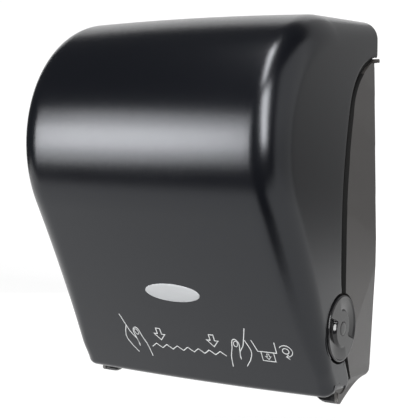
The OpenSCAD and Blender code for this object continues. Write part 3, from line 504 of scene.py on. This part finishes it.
def coverSkin():
    # rings at each length s: rear edge, flat side, corner fillet, bowed front, and back again one wall inside
    halfW, edgeR, innerR = cover["halfW"], cover["edgeR"], cover["lipInnerR"]
    edges = {1: coverEdge(True), -1: coverEdge(False)}
    rAt, lAt = edges[1][3], edges[-1][3]
    rEnd, lEnd = edges[1][1][-1], edges[-1][1][-1]
    # which length of the outline goes with which length of the rear edge, on each side
    noseMid = topEnd + rings["noseMid"] * (noseEnd - topEnd)
    slantAt = lambda k: noseEnd + rings[k] * (slantEnd - noseEnd)
    high, front, under, knee = (slantAt(k) for k in ("high", "front", "under", "knee"))
    low, heel = slantEnd + rings["low"], slantEnd + rings["heel"]
    upper = [(0, 0), (topEnd, rings["topRun"]), (noseMid, rings["midRun"])]
    pairs = {
        1: upper + [(noseEnd, rings["knobRun"]), (high, rAt["high"]), (front, rAt["front"]),
                    (under, rAt["under"]), (low, rAt["low"]), (heel, rAt["heel"]), (lastS, rEnd)],
        -1: upper + [(noseEnd, rings["plainRun"]), (knee, lAt["knee"]), (slantEnd, lAt["heel"]),
                     (lipEnd, lEnd - rings["lipRun"]), (lastS, lEnd)],
    }
    spans = [(0, topEnd, 26), (topEnd, noseEnd, 66), (noseEnd, high, 12), (high, low, 60), (low, slantEnd, 4),
             (slantEnd, lipEnd, 12), (lipEnd, lastS, 3)]
    s = np.unique(np.round(np.concatenate([np.linspace(*span) for span in spans] + [[heel, knee]]), 4))
    p, a = coverOutline(s)
    n = -np.stack([np.cos(a), np.sin(a)], -1)
    onSlant = np.clip((s - noseEnd) / (slantEnd - noseEnd), 0, 1) ** 2
    evenR = np.interp(s, [0, topEnd, slantEnd, lipEnd, lastS],
                      [cover["rearEdgeR"], edgeR, edgeR, edgeR - cover["lipLess"], edgeR - cover["lastLess"]])
    lipBow = cover["lipBow"] * cover["bow"]
    c = np.interp(s, [0, noseEnd, slantEnd, lastS], [cover["bow"], cover["bow"], lipBow, lipBow])

    def fillet(endR):
        # it leaves the bowed front at the angle lean and meets the drawn-in side at the angle tip
        r = evenR + (innerR - edgeR) * onSlant + (endR - innerR) * ease(under, slantEnd, s)
        lean, tip, xc = 0 * s, 0 * s, halfW - r
        for _ in range(8):
            lean = np.arctan(2 * c * (xc + r * np.sin(lean)) / halfW ** 2)
            sink = c * ((xc + r * np.sin(lean)) / halfW) ** 2 + r * np.cos(lean)
            meet = p[:, 0] + n[:, 0] * (sink - r * np.sin(tip))
            tip = np.arctan(-n[:, 0] * 2 * cover["sideIn"] * drawIn(meet) / (cover["depth"] - edgeT))
            xc = sideX(meet) - r * np.cos(tip)
        k = lean[:, None] + (pi / 2 - tip - lean)[:, None] * np.linspace(1, 0, rings["arc"])[None]
        return r, tip, xc, sink, k

    def half(side, off):
        # one side's columns, off inside the outer skin: rounded rim (outer only), flat side, fillet, front
        line, run, inward, _ = edges[side]
        r, tip, xc, sink, k = fillet(innerR if off else cover["lipEdgeR"])
        q = np.interp(s, *zip(*pairs[side]))
        edge = np.stack([np.interp(q, run, line[:, 0]), np.interp(q, run, line[:, 1])], -1)
        into = unit(np.stack([np.interp(q, run, inward[:, 0]), np.interp(q, run, inward[:, 1])], -1))
        foot = p + n * (sink - (r - off) * np.sin(tip))[:, None]
        atHeel = rim["lowShare"] * ease(low + rim["lowFrom"], low + rim["lowTo"], s)
        wide = np.maximum(ease(high + rim["highFrom"], high + rim["highTo"], s), atHeel)
        soft = (rim["fine"] + (rim["t"] - rim["fine"]) * wide)[:, None]
        start = edge + into * (soft if off == 0 else 0)
        flatSide = start[:, None] + (foot - start)[:, None] * np.linspace(0, 1, rings["flat"])[None, :, None]
        xs, cs = [sideX(flatSide[..., 0]) - off], [flatSide]
        deep = sink[:, None] - (r[:, None] - off) * np.cos(k)
        xs.append((xc[:, None] + (r[:, None] - off) * np.sin(k))[:, 1:])
        cs.append((p[:, None] + n[:, None] * deep[..., None])[:, 1:])
        x = xs[-1][:, -1:] * np.linspace(1, 0, rings["across"])[None]
        xs.append(x[:, 1:])
        cs.append((p[:, None] + n[:, None] * (c[:, None] * (x / halfW) ** 2 + off)[..., None])[:, 1:])
        if off == 0:
            b = np.linspace(pi / 2, 0, rim["steps"] + 1)[None, :-1]
            rounded = edge[:, None] + into[:, None] * (soft * (1 - np.sin(b)))[..., None]
            xs.insert(0, sideX(rounded[..., 0]) - rim["x"] * soft / rim["t"] * (1 - np.cos(b)))
            cs.insert(0, rounded)
        x, tz = np.concatenate(xs, 1), np.concatenate(cs, 1)
        return toFrame(side * x, tz[..., 0], tz[..., 1])

    wall, extra = cover["wall"], rim["steps"]
    outer = np.concatenate([half(1, 0), half(-1, 0)[:, -2::-1]], 1)
    inner = np.concatenate([half(-1, wall), half(1, wall)[:, -2::-1]], 1)
    grid = np.concatenate([outer, inner], 1)
    ns, m, no = len(s), grid.shape[1], outer.shape[1]
    # ends closed by strips between the skins; the rim's few extra columns fan to the inner corner
    o = np.arange(extra, no - extra)
    i = m - 1 - (o - extra)
    strip = np.stack([o[:-1], o[1:], i[1:], i[:-1]], -1)
    rightFan = np.concatenate([np.arange(extra + 1), [m - 1]])[None]
    leftFan = np.concatenate([np.arange(no - 1 - extra, no), [no]])[None]
    caps = [strip, rightFan, leftFan]
    caps += [f[:, ::-1] + (ns - 1) * m for f in caps]
    return grid.reshape(-1, 3), [gridFaces(ns, m, closeV=True)] + caps


lockHole = dict(t=30.0, r=9.05, below=12.0, above=8.0, count=72)


def drillCover(piece):
    # the lock's round hole through the top, cut with a cylinder that is then removed
    a = fullTurn(lockHole["count"])[None]
    z = np.array([[topZ - lockHole["below"]], [topZ + lockHole["above"]]])
    bar = toFrame(lockHole["r"] * np.cos(a), lockHole["t"] + lockHole["r"] * np.sin(a), z)
    tool = putObject("drill", putMesh("drill", *closedTube(bar)))
    cut = piece.modifiers.new("drill", "BOOLEAN")
    cut.object, cut.operation, cut.solver = tool, "DIFFERENCE", "EXACT"
    done = bpy.data.meshes.new_from_object(piece.evaluated_get(bpy.context.evaluated_depsgraph_get()))
    piece.modifiers.clear()
    old, piece.data = piece.data, done
    done.name = "frontCover"
    bpy.data.meshes.remove(old)
    bpy.data.objects.remove(tool)


coverMesh = putMesh("coverBlank", *coverSkin())
coverPiece = addPiece("frontCover", coverMesh, "cover", "charcoal_shell", "front_cover")
drillCover(coverPiece)

boss = dict(x0=150.3, x1=153.5, r=7.0, bore=3.05, bevel=0.5, count=48)


def hingeBoss(side):
    # a ring round the hinge: bore, inner face, bevel, outer side, and the face in the cover's wall
    x0, x1, r, bore, bevel = (boss[k] for k in ("x0", "x1", "r", "bore", "bevel"))
    profile = np.array([(x0, bore), (x0, r - bevel), (x0 + bevel, r), (x1, r), (x1, bore)])
    return closedRing(turned(profile * [side, 1], parting["hinge"], boss["count"]))


bossParts = joinParts([hingeBoss(1), hingeBoss(-1)])
addPiece("hingeBosses", putMesh("hingeBosses", *bossParts), "cover", "charcoal_shell")
print("front cover done,", len(coverPiece.data.polygons), "faces")

# Plate and printed lines on the slanted front
plate = dict(x=2.0, s=97.0, w=66.0, h=22.7, thick=0.7, drawn=0.75, count=144)
printed = dict(width=1.05, thin=0.9, nail=0.8, tip=0.7, proud=0.12, sunk=0.15, flat=0.9, mitre=0.45,
               middle=-1.5)


def onFront(x, s, h):
    # x across, s down the slant from the nose, h out of the bowed front
    bow = np.interp(s + noseEnd, [noseEnd, slantEnd], [cover["bow"], cover["lipBow"] * cover["bow"]])
    out = h - bow * (x / cover["halfW"]) ** 2
    t = faceTop[0] - s * sin(slant) + out * cos(slant)
    return toFrame(x, t, faceTop[1] - s * cos(slant) - out * sin(slant))


def ovalPlate():
    # rings of an ellipse from the rim in: rounded edge, a shallow groove as border, then a slight dome;
    # u is the way out from the middle, h the height, drawn for a plate 0.75 thick
    u = np.array([1.0, 1.0, 0.985, 0.965, 0.935, 0.925, 0.915, 0.905, 0.85, 0.7, 0.5, 0.3, 0.12])[:, None]
    h = np.array([-0.3, 0.35, 0.6, 0.7, 0.71, 0.6, 0.6, 0.72, 0.76, 0.86, 0.95, 1.01, 1.05])[:, None]
    a = fullTurn(plate["count"])[None]
    inset = (1 - u) * plate["h"] / 2
    x = plate["x"] + (plate["w"] / 2 - inset) * np.cos(a)
    s = plate["s"] - (plate["h"] / 2 - inset) * np.sin(a)
    return closedTube(onFront(x, s, h * plate["thick"] / plate["drawn"] + 0 * a))


plateMesh = putMesh("ovalPlate", *ovalPlate(), crease=60)
addPiece("ovalPlate", plateMesh, "cover", "pale_print", "name_badge", finish=satinPlate)


def printLine(path, closed=False, width=printed["width"]):
    # a flat low ridge of even width along a path of (x, s), its corners mitred
    p = np.asarray(path, float)
    ahead = np.roll(p, -1, 0) - p
    behind = p - np.roll(p, 1, 0)
    if not closed:
        ahead[-1], behind[0] = behind[-1], ahead[0]
    ahead, behind = unit(ahead), unit(behind)
    mid = ahead + behind
    mid /= np.maximum(np.linalg.norm(mid, axis=1, keepdims=True), 1e-6)
    side = np.stack([-mid[:, 1], mid[:, 0]], -1)
    side *= (width / 2 / np.clip((mid * ahead).sum(1), printed["mitre"], 1))[:, None]
    top = side * printed["flat"]
    q = np.stack([p - side, p - top, p + top, p + side], 1)
    h = np.array([-printed["sunk"], printed["proud"], printed["proud"], -printed["sunk"]])[None]
    ridge = onFront(q[..., 0], q[..., 1], h + 0 * q[..., 0])
    return closedRing(ridge) if closed else closedTube(ridge)


def roundLine(x, s, rx, ry, tilt, a0=0, a1=360, n=24):
    # part of an ellipse about (x, s), turned by tilt
    a, b = np.radians(np.linspace(a0, a1, n, endpoint=a1 - a0 < 360)), radians(tilt)
    u, v = rx * np.cos(a), ry * np.sin(a)
    return np.stack([x + u * cos(b) - v * sin(b), s + u * sin(b) + v * cos(b)], -1)


def arrowLine(x, s, size):
    # the outline of a broad arrow that points down, from a drawing two units high
    outline = [(-0.33, -1), (0.33, -1), (0.33, -0.05), (0.85, -0.05), (0, 1), (-0.85, -0.05), (-0.33, -0.05)]
    return np.array(outline) * size + [x, s]


def handLines(flip):
    # a plain hand that holds a sheet: arm edge, back of the hand, thumb and its inner line, thumb nail
    turn = lambda p: np.stack([2 * printed["middle"] - p[:, 0], p[:, 1]], -1) if flip else p
    strokes = [curveThrough(k, 8) for k in (
        [(-79, 135), (-75.5, 147), (-72, 158), (-68.5, 164)],
        [(-75.3, 151), (-79.6, 165), (-76.5, 176), (-69.5, 187)],
        [(-64.5, 176), (-66.4, 165), (-67.3, 156.5), (-64, 151.5), (-60, 154), (-57.5, 164), (-54, 175),
         (-52.2, 190)],
        [(-68.5, 164), (-65.8, 169), (-65, 178)])]
    nail = roundLine(-63.4, 157.6, 2.3, 3.9, -14)
    return [printLine(turn(k)) for k in strokes] + [printLine(turn(nail), True, printed["nail"])]


def tearLine():
    # the torn edge: seven even teeth between the hands
    x = np.linspace(-48, 45, 15)
    return printLine(np.stack([x, 173.5 + 2.7 * (-1.0) ** np.arange(15)], -1))


def feedSign():
    # a sheet leaving a slot, beside a knob with a turning arrow
    thin = printed["thin"]
    return [printLine([(80, 150), (84.5, 164), (106, 164), (106, 150)]),
            printLine([(88, 164.6), (88, 176), (102.5, 176), (102.5, 164.6)], width=thin),
            printLine(arrowLine(95.2, 170, 3.6), True, printed["tip"]),
            printLine(roundLine(117, 160, 3.6, 3.6, 0), True, thin),
            printLine(roundLine(117, 160, 7.4, 7.4, 0, -150, 95, 30), width=thin),
            printLine([(119.3, 164.2), (116.2, 167.5), (119.6, 170.4)], width=thin)]


downArrows = [printLine(arrowLine(x, 157, 8), True) for x in (-33, 33)]
signParts = handLines(False) + handLines(True) + [tearLine()] + downArrows + feedSign()
addPiece("pullSigns", putMesh("pullSigns", *joinParts(signParts)), "cover", "pale_print")
print("plate and signs done,", len(signParts), "lines")

# Feed knob
knob = dict(x0=150.6, x1=158.2, r=34.5, round=1.8, bevel=0.6, seatR=7.52, capDepth=1.2, boreR=5.02,
            boreDepth=3.2, pole=0.02, count=240, scoop=6.2, floor=0.3, bar=14.5, widen=4.0, start=35.0,
            run=140.0, lip=0.16, rimFrom=0.6, rimTo=3.2, wallHalf=0.9, wallUp=3.9, wallTilt=0.4)


def knobFace():
    # height over a polar grid: a flat face less two curved channels, half a turn from each other; each starts
    # at a steep wall, is deepest at its inner side and runs out to nothing along the rim
    c, count, edgeR, soft, x0 = parting["knob"], knob["count"], knob["r"], knob["round"], knob["x0"]
    a = fullTurn(count)[None]
    rimR = edgeR - soft * (1 - np.sin(np.linspace(0, pi / 2, 7)[1:]))
    r = np.concatenate([np.linspace(knob["seatR"], edgeR - soft, 70), rimR])[:, None]
    f, b = r * np.cos(a), r * np.sin(a)     # forward and up
    onRim = r - edgeR + soft
    drop = np.where(onRim > 0, soft - np.sqrt(np.clip(soft ** 2 - onRim ** 2, 0, None)), 0)
    scoop = 0
    for side in (1, -1):
        ff, bb = f * side, b * side
        along = np.mod(knob["start"] - np.degrees(np.arctan2(bb, ff)), 360)
        inner = knob["bar"] + knob["widen"] * np.clip(along / knob["run"], 0, 1)
        past = (r - inner) / (edgeR - inner)
        across = ease(0, knob["lip"], past) * (1 - (1 - knob["floor"]) * np.clip(past, 0, 1))
        across = across * ease(edgeR - knob["rimFrom"], edgeR - knob["rimTo"], r)
        wall = ease(knob["wallHalf"], -knob["wallHalf"], bb - knob["wallUp"] - knob["wallTilt"] * ff)
        scoop = scoop + knob["scoop"] * across * wall * np.clip(1 - along / knob["run"], 0, 1)
    face = toFrame(knob["x1"] - drop - scoop, c[0] + f, c[1] + b)
    # behind it the bore, the back, a bevel and the skirt; inside it the cap's seat
    floorX, seatX = x0 + knob["boreDepth"], knob["x1"] - knob["capDepth"]
    base = [(floorX, knob["boreR"] * knob["pole"]), (floorX, knob["boreR"]), (x0, knob["boreR"]),
            (x0, edgeR - knob["bevel"]), (x0 + knob["bevel"], edgeR)]
    skirt = [(x, edgeR) for x in np.linspace(x0 + 0.8, knob["x1"] - soft - 0.2, 3)]
    seat = [(seatX, knob["seatR"]), (seatX, knob["seatR"] * knob["pole"])]
    return closedTube(np.concatenate([turned(base + skirt, c, count), face[::-1], turned(seat, c, count)]))


addPiece("feedKnob", putMesh("feedKnob", *knobFace(), crease=50), "drum", "knob_gloss", "feed_knob")

cap = dict(r=7.5, back=157.0, front=158.42, groove=0.5, pole=0.05, count=72)


def capShape():
    # a turned disc: straight side, a fine groove under the face, a rounded edge and a slight dome
    r, front, groove, pole = cap["r"], cap["front"], cap["groove"], cap["pole"]
    profile = [(cap["back"], pole), (cap["back"], r), (front - 0.75, r), (front - 0.75, r - groove),
               (front - 0.25, r - groove), (front - 0.1, r - 0.75), (front, r - 1.3), (front + 0.06, 3.5),
               (front + 0.08, pole)]
    return closedTube(turned(profile, parting["knob"], cap["count"]))


addPiece("knobCap", putMesh("knobCap", *capShape()), "drum", "knob_gloss", "knob_cap")
print("knob done")

# Paper chute
chute = dict(t=57.0, top=30.0, backZ=12.0, foot=-10.5, frontT=85.0, frontZ=-7.5, floorZ=6.4, floorT=20.0,
             hornT=80.0, fall=1.6, edge=1.5, clear=-1.0, archFrom=118.0, archTo=134.0, rib=1.6, ribHalf=1.0,
             headGap=4.7, endT=65.0, endZ=1.5, ramp=((79, -1), (72, 8), (66, 18), (62, 30)))


def soleZ(t):
    # the housing's underside: level at the rear, then down to the horns by the power fall
    u = np.clip((t - chute["floorT"]) / (chute["hornT"] - chute["floorT"]), 0, 1)
    return chute["floorZ"] + (chute["foot"] - chute["floorZ"]) * u ** chute["fall"]


def chuteShape():
    # one profile at every station across: its foot is lifted to the arch, its ramp stands out on eleven ribs
    end = boxOf("chute")[1][0]
    wide = end - chute["headGap"]
    ribX = np.linspace(-5, 5, 11) * wide / 5.5
    near = np.array([-1.1, -1.0, 1.0, 1.1]) * chute["ribHalf"]
    x = np.unique(np.concatenate([np.linspace(-wide, wide, 81), (ribX[:, None] + near).ravel()]))[:, None]
    onRib = (np.abs(x - ribX).min(1, keepdims=True) < chute["ribHalf"] * 1.05).astype(float)
    soleT = np.linspace(chute["t"], chute["hornT"] + 2, 7)
    rampT, rampZ = np.array(chute["ramp"], float).T
    t = np.concatenate([soleT, [chute["frontT"]], rampT, [chute["t"] + 1, chute["t"]]])[None]
    z = np.concatenate([soleZ(soleT), [chute["frontZ"]], rampZ, [chute["top"], chute["backZ"]]])[None]
    isRamp = np.repeat([0.0, 1.0, 0.0], (len(soleT) + 1, len(rampT), 2))[None]
    isTop = np.repeat([0.0, 1.0], (len(soleT), len(rampT) + 3))[None]
    toFoot = ease(chute["archFrom"], chute["archTo"], np.abs(x))
    least = chute["clear"] + (chute["foot"] - chute["clear"]) * toFoot
    lifted = np.maximum(z, least + chute["edge"] * isTop)
    parts = [closedTube(toFrame(x, t + chute["rib"] * onRib * isRamp, lifted))]
    # short stubs that reach the horns under the heads of the hinge pins
    footT = np.linspace(chute["endT"], chute["hornT"] + 2, 5)
    stubT = np.concatenate([footT, [chute["frontT"], chute["frontT"] - 4, chute["endT"]]])[None]
    stubZ = np.concatenate([soleZ(footT), [chute["frontZ"], chute["foot"] + 10, chute["endZ"]]])[None]
    for side in (-1, 1):
        parts.append(closedTube(toFrame(side * np.array([[wide - 0.5], [end]]), stubT, stubZ)))
    return joinParts(parts)


addPiece("paperChute", putMesh("paperChute", *chuteShape()), "housing", "dark_plastic", "chute")
print("chute done")

# Wound springs
coils = dict(wire=0.55, armR=3.55, armTurns=7, pinchR=3.4, pinchTurns=5.5, pinchLen=10.0, pinchIn=4.0,
             returnR=4.4, returnTurns=44, returnWire=0.6, eyeR=3.9, eyeGap=1.2, crankR=18.0,
             anchor=(40.0, 160.0))


def coilPath(base, axis, side, radius, length, turns, steps=16):
    # a helix of that radius and length on the axis from base, and its outward directions
    axis, side = np.asarray(axis, float), np.asarray(side, float)
    third = np.cross(axis, side)
    n = int(turns * steps) + 1
    a = np.linspace(0, 2 * pi * turns, n)[:, None]
    out = np.cos(a) * side + np.sin(a) * third
    return base + out * radius + axis * np.linspace(0, length, n)[:, None], out


def springPiece(name, node, wire, *paths):
    # round wire along each (path, outward directions)
    wound = joinParts([tubeAlong(path * mm, out, wire * mm) for path, out in paths])
    return addPiece(name, putMesh(name, *wound), "housing", "spring_steel", node)


wire = coils["wire"]
low, high = boxOf("arm_spring")
armBase = np.array([*(low + high)[:2] / 2, low[2] + wire])
armLen = high[2] - low[2] - 2 * wire
armCoil = coilPath(armBase, (0, 0, 1), (1, 0, 0), coils["armR"], armLen, coils["armTurns"])
springPiece("armSpring", "arm_spring", wire, armCoil)

pinchAxis = np.array([0, 1, 1]) / np.sqrt(2)
pinchReach = pinchAxis * coils["pinchLen"] / 2
low, high = boxOf("pinch_springs")
pinchPaths = []
for side in (-1, 1):
    # each runs from the bearing block up and back to the end of its slot
    centre = np.array([side * (high[0] - coils["pinchIn"]), *(low + high)[1:] / 2])
    pinchPaths.append(coilPath(centre - pinchReach + pinchAxis * wire, pinchAxis, (1, 0, 0), coils["pinchR"],
                               coils["pinchLen"] - 2 * wire, coils["pinchTurns"]))
pinchPiece = springPiece("pinchSprings", "pinch_springs", wire, *pinchPaths)
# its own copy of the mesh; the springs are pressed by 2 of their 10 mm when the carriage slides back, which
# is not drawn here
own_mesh(pinchPiece)


def returnPaths():
    # a close-wound coil from the crank pin to the anchor post, with a round eye bent over at each end
    low, high = boxOf("return_spring")
    x = (low[0] + high[0]) / 2
    drum, post = np.array(parting["knob"]), np.array(coils["anchor"])
    pin = drum + coils["crankR"] * unit(post - drum)
    start, end = (np.array([x, -p[0], p[1] - wallZ]) for p in (pin, post))
    far, axis = np.linalg.norm(end - start), unit(end - start)
    square = np.cross(axis, (1.0, 0, 0))
    eye, inset = coils["eyeR"], coils["eyeR"] + coils["eyeGap"]
    paths = [coilPath(start + axis * inset, axis, square, coils["returnR"], far - 2 * inset,
                      coils["returnTurns"], 14)]
    a = np.radians(np.linspace(20, 340, 40))[:, None]
    for place, way in ((start, 1), (end, -1)):
        hook = place + eye * (np.cos(a) * axis * way + np.sin(a) * square)
        paths.append((hook, np.tile((1.0, 0, 0), (len(a), 1))))
    return paths


springPiece("returnSpring", "return_spring", coils["returnWire"], *returnPaths())
print("springs wound")

# Floor, backdrop, lamps and camera, in metres
stageSize = dict(floorZ=-0.36, front=-0.72, wallY=1.35, bend=0.35, topZ=1.9, left=-2.6, right=1.6,
                 notch=(0.05, 0.14, 0.34, 0.42), notchY=-0.34, middle=np.array((0.0, -0.1, 0.2)))
screen = dict(left=-0.05, right=1.5, front=-0.8, back=1.2, top=2.0)
# from and to height, glow at each; the brighter of the two slopes counts
rearFade = ((-0.36, -0.15, 0.74, 0.27), (-0.10, 0.25, 0.27, 0.46))
sideFade = ((-0.36, -0.12, 0.76, 0.58), (-0.10, 0.40, 0.58, 0.85))


def stageSheet():
    # one sheet: floor, quarter bend, upright backdrop; the floor's front edge has a notch towards the camera
    b = np.linspace(0, pi / 2, 17)
    r, y1, z0 = stageSize["bend"], stageSize["wallY"], stageSize["floorZ"]
    x = np.array([stageSize["left"], *stageSize["notch"], stageSize["right"]])[:, None]
    front, deep = stageSize["front"], stageSize["notchY"]
    edge = np.array([front, front, deep, deep, front, front])[:, None]
    y = np.concatenate([edge, np.tile(y1 - r + r * np.sin(b), (6, 1)), np.full((6, 1), y1)], 1)
    z = np.concatenate([[z0], z0 + r - r * np.cos(b), [stageSize["topZ"]]])[None]
    points = np.stack(np.broadcast_arrays(x, y, z), -1)
    return points.reshape(-1, 3), [gridFaces(6, y.shape[1])]


def board(x0, y0, x1, y1):
    # a flat upright board on a line of the floor plan
    x, y = np.array([[x0], [x1]]), np.array([[y0], [y1]])
    z = np.array([[stageSize["floorZ"], screen["top"]]])
    return np.stack(np.broadcast_arrays(x, y, z), -1).reshape(-1, 3), [gridFaces(2, 2)]


def stagePaper(name, tone, glow):
    # a matt sheet that the camera, gloss and glass see lifted by glow while its shadow stays; glow is a
    # number, or slopes that grade it by height; from behind it can be looked through
    mat = bpy.data.materials.new(name)
    mat.use_nodes = True
    tree = mat.node_tree
    shader = tree.nodes["Principled BSDF"]
    shader.inputs["Base Color"].default_value = (tone, tone, tone, 1)
    shader.inputs["Roughness"].default_value = 0.9
    shader.inputs["Specular IOR Level"].default_value = 0.0
    seen = tree.nodes.new("ShaderNodeLightPath").outputs
    lift = mathNode(tree, "MAXIMUM", seen["Is Camera Ray"], seen["Is Glossy Ray"])
    lift = mathNode(tree, "MAXIMUM", lift, seen["Is Transmission Ray"])
    level = glow
    if isinstance(glow, tuple):
        height = splitPlace(tree)["Z"]
        slopes = []
        for slope in glow:
            ramp = tree.nodes.new("ShaderNodeMapRange")
            tree.links.new(height, ramp.inputs["Value"])
            for socket, v in zip(ramp.inputs[1:5], slope):
                socket.default_value = v
            slopes.append(ramp.outputs[0])
        level = mathNode(tree, "MAXIMUM", *slopes)
    light = tree.nodes.new("ShaderNodeEmission")
    tree.links.new(mathNode(tree, "MULTIPLY", lift, level), light.inputs["Strength"])
    both = tree.nodes.new("ShaderNodeAddShader")
    tree.links.new(shader.outputs[0], both.inputs[0])
    tree.links.new(light.outputs[0], both.inputs[1])
    oneSided = tree.nodes.new("ShaderNodeMixShader")
    tree.links.new(tree.nodes.new("ShaderNodeNewGeometry").outputs["Backfacing"], oneSided.inputs[0])
    tree.links.new(both.outputs[0], oneSided.inputs[1])
    tree.links.new(tree.nodes.new("ShaderNodeBsdfTransparent").outputs[0], oneSided.inputs[2])
    tree.links.new(oneSided.outputs[0], tree.nodes["Material Output"].inputs["Surface"])
    return mat


sideBoard = board(screen["right"], screen["front"], screen["right"], screen["back"])
rearBoard = board(screen["left"], screen["back"], screen["right"], screen["back"])
stageParts = {
    "stageSheet": (stageSheet(), stagePaper("whitePaper", 0.2, 0.88)),
    "sideBoard": (sideBoard, stagePaper("paleCard", 0.2, sideFade)),
    "rearBoard": (rearBoard, stagePaper("greyCard", 0.05, rearFade)),
}
for sheetName, (sheetShape, sheetPaper) in stageParts.items():
    sheetMesh = putMesh(sheetName, *sheetShape)
    towards = [np.dot(f.normal, stageSize["middle"] - np.array(f.center)) for f in sheetMesh.polygons]
    if np.mean(towards) < 0:
        sheetMesh.flip_normals()
    sheetMesh.materials.append(sheetPaper)
    sheet = putObject(sheetName, sheetMesh)
    sheet.visible_camera = sheetName == "stageSheet"     # the boards are there for the gloss alone

world = bpy.data.worlds.new("studio")
bpy.context.scene.world = world
world.use_nodes = True
# dim all round, but white where the camera looks past the sheets
sky = world.node_tree
dim, white = sky.nodes["Background"], sky.nodes.new("ShaderNodeBackground")
dim.inputs["Color"].default_value = (0.9, 0.95, 1.0, 1)
dim.inputs["Strength"].default_value = 0.06
white.inputs["Color"].default_value = (1, 1, 1, 1)
white.inputs["Strength"].default_value = 1.0
choose = sky.nodes.new("ShaderNodeMixShader")
sky.links.new(sky.nodes.new("ShaderNodeLightPath").outputs["Is Camera Ray"], choose.inputs[0])
sky.links.new(dim.outputs[0], choose.inputs[1])
sky.links.new(white.outputs[0], choose.inputs[2])
sky.links.new(choose.outputs[0], sky.nodes["World Output"].inputs["Surface"])

lamps = {
    # name: aim point, direction, distance, width, height, roll in degrees, watts
    "bandBox": ((0, -0.20, 0.03), (-0.56, -0.82, 0.11), 2.6, 1.40, 0.80, 0, 26.5),
    "bandEdge": ((0, -0.20, 0.03), (-0.56, -0.82, 0.11), 2.7, 1.50, 1.82, 0, 51.0),
    "edgeStrip": ((0.14, -0.20, 0.05), (0.40, -0.81, 0.43), 1.8, 0.58, 1.6, 13, 45.0),
    "rearFill": ((0, 0, -0.05), (-0.50, 0.86, 0.0), 1.3, 1.0, 0.36, 0, 9.0),
    "topStrip": ((0.12, -0.18, 0.12), (-0.12, -0.31, 0.94), 1.6, 0.26, 1.16, 39, 15.5),
}
shot = dict(azimuth=30.44, pitch=5.18, far=1.123, aim=(0, -0.110, -0.020), moveX=0.0094, moveY=-0.0115,
            sensor=36.0, focal=1044 / 420)     # focal is the lens in picture widths


def fromAxes(right, up, back, place):
    # an object's matrix: its own X, Y, Z and its place as columns
    m = np.eye(4)
    m[:3] = np.stack([right, up, back, place], -1)
    return Matrix(m.tolist())


def hangLamp(name, aim, way, far, w, h, roll, watts):
    # an oblong panel that faces its aim point, its upper end leaning left by roll
    data = bpy.data.lights.new(name, "AREA")
    data.shape, data.size, data.size_y, data.energy = "RECTANGLE", w, h, watts
    lamp = putObject(name, data)
    lamp.visible_camera = False
    back = unit(np.asarray(way, float))
    right = unit(np.cross((0, 0, 1.0), back))
    up = np.cross(back, right)
    c, s = cos(radians(roll)), sin(radians(roll))
    lamp.matrix_world = fromAxes(right * c + up * s, up * c - right * s, back, np.asarray(aim) + back * far)


def setCamera():
    # a camera on a sphere round the aim point, then moved in its own picture plane
    az, el = radians(shot["azimuth"]), radians(shot["pitch"])
    back = np.array([sin(az) * cos(el), -cos(az) * cos(el), sin(el)])
    right = np.array([cos(az), sin(az), 0])
    up = np.cross(back, right)
    data = bpy.data.cameras.new("shot")
    data.lens, data.sensor_width = shot["sensor"] * shot["focal"], shot["sensor"]
    data.clip_start, data.clip_end = 0.01, 50
    camera = putObject("shot", data)
    place = np.array(shot["aim"]) + back * shot["far"] + right * shot["moveX"] + up * shot["moveY"]
    camera.matrix_world = fromAxes(right, up, back, place)
    bpy.context.scene.camera = camera


for lampName, values in lamps.items():
    hangLamp(lampName, *values)
setCamera()
bpy.context.scene.view_settings.view_transform = "Standard"
print("stage set")
